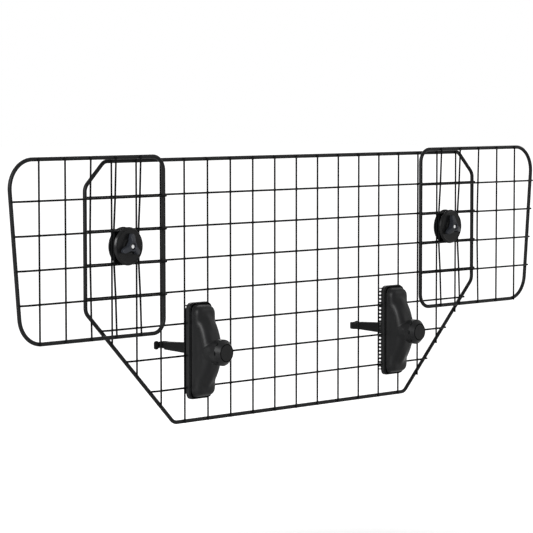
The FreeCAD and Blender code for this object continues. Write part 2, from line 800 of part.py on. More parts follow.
def make_disc_bolt():
    body = new_body("left_disc_bolt", "-disc_x", "disc_z")
    head = new_sketch(body, "head", "XZ_Plane", "-rear_boss_back_y")
    hexagon(head, "bolt_head_across")
    pad(body, head, "hex", "bolt_head_height")
    shank = new_sketch(body, "shank", "XZ_Plane", "-disc_bolt_head_y")
    circle(shank, "disc_bolt_radius")
    pad(body, shank, "rod", "disc_bolt_head_y - disc_bolt_tip_y")
    return body


def make_front_disc():
    body = new_body("left_front_disc", "-disc_x", "disc_z")
    profile = new_sketch(body, "profile", "YZ_Plane")
    polygon(profile, (
        ("front_disc_back_y", "front_disc_hole_radius"),
        ("front_disc_back_y", "disc_radius"),
        ("front_rim_y", "disc_radius"),
        ("front_rim_y", "front_rim_inner_radius"),
        ("front_disc_face_y", "front_rim_inner_radius"),
        ("front_disc_face_y", "front_hub_radius"),
        ("front_hub_y", "front_hub_radius"),
        ("front_hub_y", "front_disc_hole_radius"),
    ))
    disc = revolve(body, profile, "disc")
    round_edges(body, disc, "rounds", "front_edge_round",
                lambda edge: edge.BoundBox.ZLength > 1.9 * size("disc_radius")
                and at_depth(edge, "front_rim_y"))
    return body


def make_disc_knob():
    """A three-armed hand nut whose arms slope down and out from the hub."""
    body = new_body("left_disc_knob", "-disc_x", "disc_z")
    hub = new_sketch(body, "hub", "XZ_Plane", "-disc_knob_back_y")
    circle(hub, "disc_knob_hub_radius")
    pad(body, hub, "boss", "disc_knob_height")
    arm = new_sketch(body, "arm", "XZ_Plane", "-disc_knob_back_y")
    arm_outline(arm)
    lobe = pad(body, arm, "lobe", "disc_knob_height")
    arms = polar_pattern(body, lobe, "disc_knob_lobes", "arms")
    slope = new_sketch(body, "slope", "YZ_Plane")
    polygon(slope, (
        ("disc_knob_front_y", "disc_knob_hub_radius"),
        ("disc_knob_slope_y", "disc_knob_slope_radius"),
        ("disc_knob_over_y", "disc_knob_slope_radius"),
        ("disc_knob_over_y", "disc_knob_hub_radius"),
    ))
    revolve(body, slope, "slopes", cut=True)
    well = new_sketch(body, "well", "XZ_Plane", "-disc_knob_front_y")
    circle(well, "disc_knob_well_radius")
    pocket(body, well, "bolt_well", "disc_nut_front_y - disc_knob_front_y")
    seat = new_sketch(body, "seat", "XZ_Plane", "-disc_nut_front_y")
    hexagon(seat, "disc_nut_across")
    pocket(body, seat, "nut_seat", "disc_nut_height")
    bore = new_sketch(body, "bore", "XZ_Plane", "-disc_nut_back_y")
    circle(bore, "front_disc_hole_radius")
    pocket(body, bore, "bolt_hole", "disc_nut_back_wall + overrun")
    return body


def arm_outline(sketch):
    """A straight-sided arm with a round end, turned to the knob's own angle."""
    reach = size("disc_knob_reach") - size("disc_knob_lobe_half_width")
    half = size("disc_knob_lobe_half_width")
    turn = math.radians(size("disc_knob_turn_angle"))
    out = Vector(math.cos(turn), math.sin(turn), 0)
    side = Vector(-out.y, out.x, 0)
    tip = Part.ArcOfCircle(Part.Circle(out * reach, Vector(0, 0, 1), half),
                           turn - math.pi / 2, turn + math.pi / 2)
    near_right = sketch.addGeometry(Part.LineSegment(-side * half, out * reach - side * half), False)
    round_tip = sketch.addGeometry(tip, False)
    near_left = sketch.addGeometry(Part.LineSegment(out * reach + side * half, side * half), False)
    root = sketch.addGeometry(Part.LineSegment(side * half, -side * half), False)
    spine = sketch.addGeometry(Part.LineSegment(Vector(), out * reach), True)
    sketch.addConstraint([
        Sketcher.Constraint("Coincident", spine, 1, -1, 1),
        Sketcher.Constraint("Coincident", spine, 2, round_tip, 3),
        Sketcher.Constraint("Tangent", near_right, 2, round_tip, 1),
        Sketcher.Constraint("Tangent", round_tip, 2, near_left, 1),
        Sketcher.Constraint("Coincident", near_left, 2, root, 1),
        Sketcher.Constraint("Coincident", root, 2, near_right, 1),
        Sketcher.Constraint("Parallel", near_right, spine),
        Sketcher.Constraint("Symmetric", root, 1, root, 2, -1, 1),
        Sketcher.Constraint("Perpendicular", root, spine),
    ])
    for kind, geometry, number_now, formula in (
            ("Radius", round_tip, half, "disc_knob_lobe_half_width"),
            ("Distance", spine, reach, "disc_knob_reach - disc_knob_lobe_half_width")):
        index = sketch.addConstraint(Sketcher.Constraint(kind, geometry, number_now))
        bind(sketch, f"Constraints[{index}]", formula)
    index = sketch.addConstraint(Sketcher.Constraint("Angle", spine, turn))
    bind(sketch, f"Constraints[{index}]", "disc_knob_turn_angle * 1 deg")


def make_disc_nut():
    body = new_body("left_disc_nut", "-disc_x", "disc_z")
    outline = new_sketch(body, "outline", "XZ_Plane", "-disc_nut_back_y")
    hexagon(outline, "disc_nut_across")
    pad(body, outline, "hex", "disc_nut_height")
    thread = new_sketch(body, "thread", "XZ_Plane", "-disc_nut_back_y")
    circle(thread, "disc_thread_radius")
    pocket(body, thread, "bore", "disc_nut_height + overrun", reverse=True)
    return body


# The head-rest clamps

def make_clamp_base():
    body = new_body("left_clamp_base", "-clamp_x", "clamp_z")
    outline = new_sketch(body, "outline", "XZ_Plane", "-valley_y")
    rounded_outline(outline, (
        ("-clamp_half_width", "clamp_half_height", "clamp_corner_radius"),
        ("-clamp_half_width", "-clamp_half_height", "clamp_corner_radius"),
        ("clamp_half_width", "-clamp_half_height", "clamp_corner_radius"),
        ("clamp_half_width", "clamp_half_height", "clamp_corner_radius"),
    ))
    block = pad(body, outline, "block", "valley_y - base_front_y")
    round_edges(body, block, "rim_round", "base_edge_round",
                lambda edge: at_depth(edge, "base_front_y"))
    row = new_sketch(body, "tooth_row", "XZ_Plane", "-tooth_tip_y")
    polygon(row, (
        ("-tooth_half_width", "tooth_row_top_z"),
        ("-tooth_half_width", "tooth_row_bottom_z"),
        ("tooth_half_width", "tooth_row_bottom_z"),
        ("tooth_half_width", "tooth_row_top_z"),
    ))
    pad(body, row, "tooth_block", "tooth_tip_y - valley_y")
    valley = new_sketch(body, "valley", "YZ_Plane")
    polygon(valley, (
        ("valley_y", "valley_top_z"),
        ("valley_y", "valley_bottom_z"),
        ("valley_mouth_y", "valley_bottom_z"),
        ("valley_mouth_y", "valley_top_z"),
    ))
    slot = pocket(body, valley, "slot", "(clamp_half_width + overrun) * 2", both_ways=True)
    teeth = body.newObject("PartDesign::LinearPattern", f"{body.Name}_teeth")
    teeth.Originals = [slot]
    teeth.Direction = (origin_feature(body, "Z_Axis"), [""])
    teeth.Reversed = True
    bind(teeth, "Length", "tooth_pitch * (tooth_valleys - 1)")
    bind(teeth, "Occurrences", "tooth_valleys")
    body.Tip = teeth
    channel = new_sketch(body, "channel", "XZ_Plane", "-tooth_tip_y - overrun")
    polygon(channel, channel_corners())
    pocket(body, channel, "arm_channel", "tooth_tip_y - base_front_y + overrun * 2", reverse=True)
    return body


def channel_corners():
    """The opening that the hook's arm slides in."""
    return (
        ("-channel_half_width", "channel_top_z"),
        ("-channel_half_width", "channel_bottom_z"),
        ("channel_half_width", "channel_bottom_z"),
        ("channel_half_width", "channel_top_z"),
    )


def make_low_dome():
    """The casing's long, low front with a generous round along every edge."""
    body = loose_body("clamp_low_dome")
    outline = new_sketch(body, "outline", "XZ_Plane", "-base_front_y")
    rounded_outline(outline, (
        ("-dome_half_width", "dome_half_height", "dome_corner_radius"),
        ("-dome_half_width", "-dome_half_height", "dome_corner_radius"),
        ("dome_half_width", "-dome_half_height", "dome_corner_radius"),
        ("dome_half_width", "dome_half_height", "dome_corner_radius"),
    ))
    block = pad(body, outline, "block", "dome_crest")
    round_edges(body, block, "round", "dome_round", lambda edge: at_depth(edge, "dome_front_y"))
    return body


def make_hump():
    """The streamlined hump: a slice of a large round bar with soft edges."""
    body = loose_body("clamp_hump")
    side = new_sketch(body, "side", "YZ_Plane")
    foot, crest = size("hump_foot_y"), size("hump_crest_y")
    half = size("hump_half_length")
    rise = foot - crest
    radius = (half ** 2 + rise ** 2) / (2 * rise)
    spread = math.asin(half / radius)
    round_bar = Part.Circle(Vector(crest + radius, 0, 0), Vector(0, 0, 1), radius)
    arch = side.addGeometry(
        Part.ArcOfCircle(round_bar, math.pi - spread, math.pi + spread), False)
    chord = side.addGeometry(
        Part.LineSegment(Vector(foot, -half, 0), Vector(foot, half, 0)), False)
    top = side.addGeometry(Part.Point(Vector(crest, 0, 0)), True)
    side.addConstraint([
        Sketcher.Constraint("Coincident", arch, 1, chord, 2),
        Sketcher.Constraint("Coincident", arch, 2, chord, 1),
        Sketcher.Constraint("PointOnObject", arch, 3, -1),
        Sketcher.Constraint("PointOnObject", top, 1, -1),
        Sketcher.Constraint("PointOnObject", top, 1, arch),
    ])
    fix_point(side, chord, 1, "hump_foot_y", "-hump_half_length")
    crest_index = side.addConstraint(Sketcher.Constraint("DistanceX", -1, 1, top, 1, crest))
    bind(side, f"Constraints[{crest_index}]", "hump_crest_y")
    slice_pad = pad(body, side, "slice", "hump_half_width * 2")
    slice_pad.Midplane = True
    round_edges(body, slice_pad, "round", "hump_round",
                lambda edge: edge.Curve.TypeId == "Part::GeomCircle")
    return body


def make_clamp_cover():
    body = new_body("left_clamp_cover", "-clamp_x", "clamp_z")
    outline = new_sketch(body, "outline", "XZ_Plane", "-base_front_y")
    rounded_outline(outline, (
        ("-cover_plate_half_width", "cover_plate_half_height", "cover_plate_corner"),
        ("-cover_plate_half_width", "-cover_plate_half_height", "cover_plate_corner"),
        ("cover_plate_half_width", "-cover_plate_half_height", "cover_plate_corner"),
        ("cover_plate_half_width", "cover_plate_half_height", "cover_plate_corner"),
    ))
    pad(body, outline, "plate", "cover_plate_thickness")
    domes = [make_low_dome(), make_hump()]
    joined = body.newObject("PartDesign::Boolean", "left_clamp_cover_domes")
    joined.setObjects(domes)
    joined.Type = "Fuse"
    collar = new_sketch(body, "collar", "YZ_Plane")
    polygon(collar, (
        ("base_front_y", "0"),
        ("base_front_y", "collar_back_radius"),
        ("collar_back_y", "collar_back_radius"),
        ("collar_front_y", "collar_front_radius"),
        ("collar_front_y", "0"),
    ))
    revolve(body, collar, "collar_cone")
    channel = new_sketch(body, "channel", "XZ_Plane", "-arm_channel_y")
    polygon(channel, channel_corners())
    pocket(body, channel, "arm_channel", "base_front_y - arm_channel_y + overrun")
    bore = new_sketch(body, "bore", "XZ_Plane", "-collar_front_y + overrun")
    circle(bore, "stud_hole_radius")
    pocket(body, bore, "stud_hole", "arm_channel_y - collar_front_y + overrun * 2")
    return body


def make_hook():
    """A flat arm that ends in a claw open to one side, with a lip at its tip."""
    body = new_body("left_hook", "-clamp_x", "clamp_z")
    arm = new_sketch(body, "arm", "YZ_Plane")
    polygon(arm, (
        ("arm_front_y", "arm_top_z"),
        ("arm_front_y", "arm_bottom_z"),
        ("arm_root_y", "arm_bottom_z"),
        ("claw_reach", "claw_bottom_z"),
        ("claw_reach", "claw_top_z"),
        ("arm_root_y", "arm_top_z"),
    ))
    bar = pad(body, arm, "bar", "arm_width")
    bar.Midplane = True
    ring = new_sketch(body, "ring", "XY_Plane", "arm_lift")
    circle(ring, "claw_outer_radius", "0", "claw_reach")
    claw = pad(body, ring, "claw", "claw_height")
    claw.Midplane = True
    lip = new_sketch(body, "lip", "XY_Plane", "arm_lift")
    circle(lip, "claw_lip_radius", "claw_lip_x", "claw_lip_y")
    tip = pad(body, lip, "lip_round", "claw_tip_height")
    tip.Midplane = True
    post = new_sketch(body, "post", "XY_Plane", "arm_lift")
    circle(post, "claw_inner_radius", "0", "claw_reach")
    pocket(body, post, "post_hole", "claw_height + overrun * 2", both_ways=True)
    mouth = new_sketch(body, "mouth", "XY_Plane", "arm_lift")
    polygon(mouth, (
        ("0", "claw_reach"),
        ("claw_mouth_start_x", "claw_mouth_start_y"),
        ("claw_mouth_end_x", "claw_mouth_end_y"),
    ))
    pocket(body, mouth, "mouth_cut", "claw_height + overrun * 2", both_ways=True)
    socket = new_sketch(body, "socket", "XZ_Plane", "-arm_front_y + overrun")
    circle(socket, "stud_radius")
    pocket(body, socket, "stud_socket", "stud_embedded + overrun")
    return body


def make_stud():
    body = new_body("left_stud", "-clamp_x", "clamp_z")
    rod = new_sketch(body, "rod", "XZ_Plane", "-stud_root_y")
    circle(rod, "stud_radius")
    pad(body, rod, "shank", "stud_root_y - stud_tip_y")
    return body


def make_thrust_washer():
    body = new_body("left_thrust_washer", "-clamp_x", "clamp_z")
    profile = new_sketch(body, "profile", "YZ_Plane")
    polygon(profile, (
        ("washer_back_y", "stud_hole_radius"),
        ("washer_back_y", "washer_radius"),
        ("washer_front_y", "washer_radius"),
        ("washer_front_y", "stud_hole_radius"),
    ))
    revolve(body, profile, "ring")
    return body


def make_tension_knob():
    """A round hand knob that tapers to a fluted end."""
    body = new_body("left_tension_knob", "-clamp_x", "clamp_z")
    profile = new_sketch(body, "profile", "YZ_Plane")
    polygon(profile, (
        ("knob_back_y", "knob_well_radius"),
        ("knob_back_y", "knob_radius"),
        ("knob_rim_y", "knob_radius"),
        ("knob_end_y", "knob_end_radius"),
        ("knob_end_y", "0"),
        ("knob_well_y", "0"),
        ("knob_well_y", "knob_well_radius"),
    ))
    shell = revolve(body, profile, "shell")
    flute = new_sketch(body, "flute", "XZ_Plane", "-knob_rim_y")
    circle(flute, "knob_flute_radius", "0", "knob_flute_centre")
    cut = pocket(body, flute, "flute_cut", "knob_taper_length + overrun", reverse=True)
    polar_pattern(body, cut, "knob_flutes", "flutes")
    seat = new_sketch(body, "seat", "XZ_Plane", "-knob_nut_front_y")
    hexagon(seat, "knob_nut_across")
    pocket(body, seat, "nut_seat", "knob_nut_height + overrun")
    return body


def make_knob_nut():
    body = new_body("left_knob_nut", "-clamp_x", "clamp_z")
    outline = new_sketch(body, "outline", "XZ_Plane", "-knob_back_y")
    hexagon(outline, "knob_nut_across")
    pad(body, outline, "hex", "knob_nut_height")
    thread = new_sketch(body, "thread", "XZ_Plane", "-knob_nut_front_y + overrun")
    circle(thread, "stud_thread_radius")
    pocket(body, thread, "bore", "knob_nut_height + overrun * 2")
    return body


def check_document():
    """Stop if any feature has failed."""
    for item in doc.Objects:
        if "Invalid" in item.State or "Error" in item.State:
            raise RuntimeError(f"{item.Name} failed: {item.State}")


def write_piece(piece):
    shape = piece.Shape
    if shape.isNull() or not shape.isValid():
        raise RuntimeError(f"{piece.Label} is not a valid solid")
    shape.exportStep(os.path.join("parts", piece.Label + ".step"))
    print(f"{piece.Label}: {len(shape.Solids)} solids, {shape.Volume / 1000:.1f} cm3")


def main():
    fill_sheets()
    pieces = [make_main_frame(), make_main_uprights(), make_main_cross_wires()]
    makers = (
        make_wing_frame, make_wing_uprights, make_wing_cross_wires,
        make_rear_disc, make_disc_bolt, make_front_disc, make_disc_knob, make_disc_nut,
        make_clamp_base, make_clamp_cover, make_hook, make_stud,
        make_thrust_washer, make_tension_knob, make_knob_nut,
    )
    for make in makers:
        left = make()
        pieces += [left, mirrored(left, left.Label.replace("left_", "right_"))]
    doc.recompute()
    check_document()
    os.makedirs("parts", exist_ok=True)
    for piece in pieces:
        write_piece(piece)


main()
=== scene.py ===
"""A studio scene of a wire guard that keeps a dog in the boot of a car."""
import math

import bpy
from mathutils import Matrix, Vector


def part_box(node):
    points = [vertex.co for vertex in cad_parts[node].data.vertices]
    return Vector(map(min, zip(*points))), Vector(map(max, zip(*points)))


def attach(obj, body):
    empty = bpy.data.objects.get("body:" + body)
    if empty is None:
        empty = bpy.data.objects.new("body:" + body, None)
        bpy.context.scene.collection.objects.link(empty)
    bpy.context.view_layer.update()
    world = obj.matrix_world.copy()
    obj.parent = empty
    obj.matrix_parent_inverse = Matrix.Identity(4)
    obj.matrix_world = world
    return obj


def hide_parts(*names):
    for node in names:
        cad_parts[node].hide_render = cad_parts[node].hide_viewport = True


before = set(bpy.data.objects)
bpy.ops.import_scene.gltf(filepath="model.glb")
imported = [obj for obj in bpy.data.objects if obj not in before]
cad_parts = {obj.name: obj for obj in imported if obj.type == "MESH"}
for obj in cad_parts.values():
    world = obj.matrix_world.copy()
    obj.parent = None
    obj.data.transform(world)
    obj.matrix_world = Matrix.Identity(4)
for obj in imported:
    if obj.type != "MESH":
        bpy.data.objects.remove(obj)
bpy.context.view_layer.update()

bl_info = {
    "name": "Car dog guard",
    "version": (1, 0, 0),
    "blender": (4, 5, 0),
    "location": "3D View > Sidebar > Dog guard",
    "description": "Dresses a wire car dog guard and sets it in a studio",
    "category": "Object",
}

SIDES = ("left", "right")
# Which way along x leads outward on each side
OUTWARD = {"left": -1, "right": 1}
WHITE = (1, 1, 1, 1)

# The photo's view of the guard, with its angles in degrees
PHOTO_WIDTH = 533
FOCAL_PIXELS = 2380
SENSOR_WIDTH = 36
CAMERA_PLACE = (-2.7790, -2.6444, 0.29675)
CAMERA_YAW, CAMERA_TILT, CAMERA_ROLL = 45.79, 4.106, 0.036

# Name, azimuth, elevation, distance, width, height and power of each lamp
LAMPS = (
    ("key_lamp", -64, 22, 2.6, 0.32, 1.3, 66),
    ("side_lamp", -96, 18, 2.8, 0.3, 1.3, 20),
    ("right_lamp", 48, 26, 3.0, 0.9, 1.6, 8),
    ("back_lamp", 150, 30, 3.0, 1.6, 1.6, 20),
)
WORLD_FILL = 0.35

# The floor glows by itself: the first strength within the first radius, then up to the second
FLOOR_SIZE = 60
FLOOR_HEIGHT = -0.62
FLOOR_ROUGHNESS, FLOOR_SPECULAR = 0.9, 0.1
GLOW_STRENGTHS = (0.1, 0.85)
GLOW_RADII = (1.1, 1.8)

# Share of the wire colour and specular level of each coat on wires
WIRE_COATS = {
    "wire_coat": (1.0, 0.1),
    # The mesh wires' coat is a darker copy of the frames' coat with less reflection: its halved
    # colour is painted shade that keeps the thin wires dark
    "mesh_coat": (0.5, 0.04),
}
WIRE_ROUGHNESS = 0.4

# Colour, share of that colour, roughness and specular level of each plastic
PLASTICS = {
    "casing_plastic": ("casing_colour", 1.0, 0.4, 0.16),
    "hook_plastic": ("casing_colour", 0.5, 0.42, 0.08),
    "disc_plastic": ("disc_colour", 1.0, 0.28, 0.12),
    "grip_plastic": ("grip_colour", 1.0, 0.34, 0.16),
    # A matt black without reflection: painted shade for the dark gaps at the cover's edge and
    # around the knob caps
    "seam_black": ("disc_colour", 0.3, 0.7, 0.0),
}
# How much glossier and duller than its own roughness a plastic gets
SHEEN_SPREAD = (-0.04, 0.05)
ZINC_ROUGHNESS = (0.2, 0.36)

# Darkest and lightest tone of a finish as shares of its colour
WIRE_TONES = (0.75, 1.35)
PLASTIC_TONES = (0.82, 1.22)
ZINC_TONES = (0.86, 1.12)

# Noise patterns, in cycles a metre and octaves, and the part of their range that is spread
WIRE_CLOUD = (22, 2)
PLASTIC_CLOUD, PLASTIC_SHEEN, PLASTIC_WAVES, PLASTIC_GRAIN = (35, 3), (60, 3), (120, 1), (2600, 2)
ZINC_CLOUD, ZINC_SHEEN, ZINC_MARKS = (160, 3), (300, 3), (1200, 2)
TURNED = (1, 0.15, 1)
NOISE_MIDDLE = (0.3, 0.7)

# Strength and depth of each relief
WAVE_RELIEF = (0.05, 0.0004)
GRAIN_RELIEF = (0.1, 0.00006)
MARK_RELIEF = (0.3, 0.00004)

# Cells of the mesh to each side of its middle, and above its lowest cross wire
COLUMN_STEPS = range(-12, 13)
ROW_STEPS = range(-1, 8)
# Wires are felt for from in front, beside a crossing. The last two are in wire thicknesses.
FEEL_FROM = -1.0
FEEL_BESIDE = 0.6
WELD_SEAT = 0.95

MERGE_DISTANCE = 0.00002
# Angles in degrees: flat enough to join faces, sharp enough to be rounded, and smooth shading
FLAT_ANGLE, EDGE_ANGLE = 1, 30
EDGE_SHADING, SKIN_SHADING, BLOB_SHADING = 40, 60, 180
# From facing up to facing the front, and how squarely the end of a ring faces it at least
FRONT_TURN = (math.radians(90), 0, 0)
FACING = 0.9

# The round on the edges of each piece as a share of the moulded edge
EDGE_SHARES = {"disc": 0.6, "bolt": 1.1, "ring": 1 / 3, "base": 0.6, "knob": 1.8, "cap": 1 / 4}
# How often each moulded skin is relaxed
RELAX_STEPS = {"disc": 4, "rim": 6, "grip": 14, "hook": 30, "cover": 6, "flow": 170}
# How far inside the cover's edge the painted-shade bead around it lies, in radii of the bead
BEAD_INSET = 0.9


class GuardFinish(bpy.types.PropertyGroup):
    """Colours of the guard's finishes."""
    wire_colour: bpy.props.FloatVectorProperty(
        name="Wire coat", description="Colour of the coat on the frames",
        subtype="COLOR", size=3, min=0, max=1, default=(0.005, 0.0052, 0.0055))
    casing_colour: bpy.props.FloatVectorProperty(
        name="Casing plastic", description="Colour of the casings and the tension knobs",
        subtype="COLOR", size=3, min=0, max=1, default=(0.004, 0.0042, 0.0045))
    disc_colour: bpy.props.FloatVectorProperty(
        name="Disc plastic", description="Colour of the round clamp discs",
        subtype="COLOR", size=3, min=0, max=1, default=(0.005, 0.0051, 0.0053))
    grip_colour: bpy.props.FloatVectorProperty(
        name="Hand nut plastic", description="Colour of the three-armed hand nuts",
        subtype="COLOR", size=3, min=0, max=1, default=(0.017, 0.0187, 0.023))
    zinc_colour: bpy.props.FloatVectorProperty(
        name="Zinc plate", description="Colour of bolts, nuts and washers",
        subtype="COLOR", size=3, min=0, max=1, default=(0.62, 0.63, 0.63))
    floor_colour: bpy.props.FloatVectorProperty(
        name="Floor", description="Colour of the studio floor",
        subtype="COLOR", size=3, min=0, max=1, default=(0.86, 0.86, 0.86))


class GuardSizes(bpy.types.PropertyGroup):
    """Sizes of the detail that is added to the construction model."""
    mesh_pitch: bpy.props.FloatProperty(
        name="Mesh pitch", description="Distance from one mesh wire to the next",
        unit="LENGTH", default=0.05)
    wire: bpy.props.FloatProperty(
        name="Mesh wire", description="Thickness of the mesh wire",
        unit="LENGTH", default=0.0024)
    mesh_coat: bpy.props.FloatProperty(
        name="Mesh coat", description="Thickness of the coat on the mesh wires",
        unit="LENGTH", default=0.00035)
    frame_coat: bpy.props.FloatProperty(
        name="Frame coat", description="Thickness of the coat on the frames",
        unit="LENGTH", default=0.0002)
    end_trim: bpy.props.FloatProperty(
        name="End trim", description="Length cut off both ends of each mesh wire",
        unit="LENGTH", default=0.002)
    wing_row_drop: bpy.props.FloatProperty(
        name="Wing row drop", description="How far the wings' cross wires lie below the main ones",
        unit="LENGTH", default=0.0016)
    weld_width: bpy.props.FloatProperty(
        name="Weld width", description="Width of the coated blob at a crossing",
        unit="LENGTH", default=0.0041)
    weld_depth: bpy.props.FloatProperty(
        name="Weld depth", description="Depth of the coated blob at a crossing",
        unit="LENGTH", default=0.0028)
    edge_round: bpy.props.FloatProperty(
        name="Moulded edge", description="Round on a moulded edge",
        unit="LENGTH", default=0.0007)
    disc_grid: bpy.props.FloatProperty(
        name="Disc detail", description="Size of the finest detail on the front discs",
        unit="LENGTH", default=0.0005)
    rim_slope_width: bpy.props.FloatProperty(
        name="Rim slope width", description="Width of the sloped rim of the front discs",
        unit="LENGTH", default=0.0024)
    rim_slope_depth: bpy.props.FloatProperty(
        name="Rim slope depth", description="Depth of the sloped rim of the front discs",
        unit="LENGTH", default=0.0032)
    grip_grid: bpy.props.FloatProperty(
        name="Grip detail", description="Size of the finest detail on the hand nuts",
        unit="LENGTH", default=0.0005)
    lobe_angle: bpy.props.FloatProperty(
        name="Lobe angle", description="Direction of the left hand nut's first lobe",
        subtype="ANGLE", default=math.radians(84))
    lobe_share: bpy.props.FloatProperty(
        name="Lobe reach", description="Reach of the hand nut's lobes as a share of the solid's",
        subtype="FACTOR", min=0, max=1, default=0.93)
    lobe_slimness: bpy.props.FloatProperty(
        name="Lobe slimness", description="Width of the lobes as a share of the solid's",
        subtype="FACTOR", min=0, max=1, default=0.72)
    # The dark ring in the hand nut's well is painted shade over the bright nut
    lock_ring_radius: bpy.props.FloatProperty(
        name="Shade ring", description="Radius of the dark ring around the end of a disc bolt",
        unit="LENGTH", default=0.0047)
    lock_ring_bore: bpy.props.FloatProperty(
        name="Shade ring bore", description="Radius of the hole in the shade ring",
        unit="LENGTH", default=0.0031)
    casing_grid: bpy.props.FloatProperty(
        name="Casing detail", description="Size of the finest detail on the casing's cover",
        unit="LENGTH", default=0.0008)
    hump_half_width: bpy.props.FloatProperty(
        name="Hump width", description="Half the width of the cover's round hump",
        unit="LENGTH", default=0.0205)
    hump_rise: bpy.props.FloatProperty(
        name="Hump rise", description="How far the round hump stands over the cover's back",
        unit="LENGTH", default=0.0335)
    hump_half_length: bpy.props.FloatProperty(
        name="Hump length", description="Half the length of the cover's round hump",
        unit="LENGTH", default=0.069)
    cover_plate: bpy.props.FloatProperty(
        name="Cover plate", description="Thickness of the cover's flat edge",
        unit="LENGTH", default=0.0024)
    cover_corner: bpy.props.FloatProperty(
        name="Cover corner", description="Radius of the cover's corners",
        unit="LENGTH", default=0.0075)
    dome_setback: bpy.props.FloatProperty(
        name="Dome set-back", description="How far the dome's ends stand back from the cover's",
        unit="LENGTH", default=0.0024)
    dome_ramp: bpy.props.FloatProperty(
        name="Dome ramp", description="Depth in which the dome's set-back grows to the full",
        unit="LENGTH", default=0.003)
    shoulder: bpy.props.FloatProperty(
        name="Shoulder", description="Depth of the cover's edge that stays crisp",
        unit="LENGTH", default=0.006)
    shoulder_ramp: bpy.props.FloatProperty(
        name="Shoulder ramp", description="Depth in which the cover's forms begin to flow",
        unit="LENGTH", default=0.004)
    collar_radius: bpy.props.FloatProperty(
        name="Collar", description="Radius around the stud where the cover stays crisp",
        unit="LENGTH", default=0.0205)
    collar_ramp: bpy.props.FloatProperty(
        name="Collar ramp", description="Width around the collar in which the forms begin to flow",
        unit="LENGTH", default=0.005)
    slide_room: bpy.props.FloatProperty(
        name="Slide room", description="Free room around the arm and the stud in the cover",
        unit="LENGTH", default=0.0005)
    arm_travel: bpy.props.FloatProperty(
        name="Arm travel", description="How far the arm can be drawn into the cover",
        unit="LENGTH", default=0.006)
    # The dark bead around the cover is painted shade on its shadowed flat edge
    seam: bpy.props.FloatProperty(
        name="Cover shade bead", description="Radius of the dark bead around the cover",
        unit="LENGTH", default=0.0015)
    tooth_half_width: bpy.props.FloatProperty(
        name="Tooth row", description="Half the width of the row of teeth",
        unit="LENGTH", default=0.022)
    tooth_depth: bpy.props.FloatProperty(
        name="Tooth depth", description="Depth of the teeth behind a casing's base",
        unit="LENGTH", default=0.0039)
    tooth_stretch: bpy.props.FloatProperty(
        name="Tooth stretch", description="Depth of the dressed teeth as a share of the solid's",
        default=1.8)
    skirt_thickness: bpy.props.FloatProperty(
        name="Skirt thickness", description="Thickness of the walls along the row of teeth",
        unit="LENGTH", default=0.0014)
    skirt_end: bpy.props.FloatProperty(
        name="Skirt end", description="From the casing's end to the skirt's end",
        unit="LENGTH", default=0.0098)
    outer_skirt_depth: bpy.props.FloatProperty(
        name="Outer skirt", description="Depth of the wall along the outer edge of the teeth",
        unit="LENGTH", default=0.0038)
    inner_skirt_depth: bpy.props.FloatProperty(
        name="Inner skirt", description="Depth of the wall along the inner edge of the teeth",
        unit="LENGTH", default=0.0021)
    hook_grid: bpy.props.FloatProperty(
        name="Hook detail", description="Size of the finest detail on the hooks",
        unit="LENGTH", default=0.0007)
    arm_stoutness: bpy.props.FloatProperty(
        name="Arm stoutness", description="Height of the free arm as a share of the solid's",
        default=1.3)
    arm_free_from: bpy.props.FloatProperty(
        name="Arm free from", description="Depth behind which the arm may be stouter",
        unit="LENGTH", default=0.004)
    arm_flare: bpy.props.FloatProperty(
        name="Arm flare", description="Length in which the arm grows stouter",
        unit="LENGTH", default=0.008)
    claw_taper: bpy.props.FloatProperty(
        name="Claw taper", description="Length of the claw's tapered far end",
        unit="LENGTH", default=0.006)
    claw_slope: bpy.props.FloatProperty(
        name="Claw slope", description="Share of its height that the claw's far end loses",
        subtype="FACTOR", min=0, max=1, default=0.6)
    knob_cap_radius: bpy.props.FloatProperty(
        name="Knob cap", description="Radius of the cap in the end of a tension knob",
        unit="LENGTH", default=0.0128)
    # The dark bead around a knob's cap is painted shade in the groove there
    cap_seam: bpy.props.FloatProperty(
        name="Cap shade bead", description="Radius of the dark bead around a knob's cap",
        unit="LENGTH", default=0.0009)


# Selecting and finishing

def select_only(*objects):
    """Select these objects alone, the first of them active."""
    bpy.ops.object.select_all(action="DESELECT")
    for item in objects:
        item.select_set(True)
    bpy.context.view_layer.objects.active = objects[0]


def apply_modifiers(piece):
    """Apply all of a piece's modifiers in their order."""
    select_only(piece)
    for modifier in list(piece.modifiers):
        bpy.ops.object.modifier_apply(modifier=modifier.name)


def settle(piece):
    """Put the piece's own place into its mesh."""
    select_only(piece)
    bpy.ops.object.transform_apply(location=True, rotation=True, scale=True)


def smooth(piece, angle):
    """Shade a piece smooth, but for edges sharper than an angle in degrees."""
    select_only(piece)
    bpy.ops.object.shade_smooth_by_angle(angle=math.radians(angle))


def seat(piece, name, body, coat, slot, *nodes):
    """Name a finished piece, give it its finish and let it ride on a body."""
    piece.name = name
    piece.data.name = name
    paint(piece, coat)
    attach(piece, body)
    if nodes:
        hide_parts(*nodes)


def dress(piece, node, body, coat, slot):
    """Seat a piece that stands in for the construction node of its name."""
    seat(piece, f"{node}_dressed", body, coat, slot, node)


def middle_of(low, high):
    """Where a box's middle is, across and in height."""
    return (low.x + high.x) / 2, (low.z + high.z) / 2


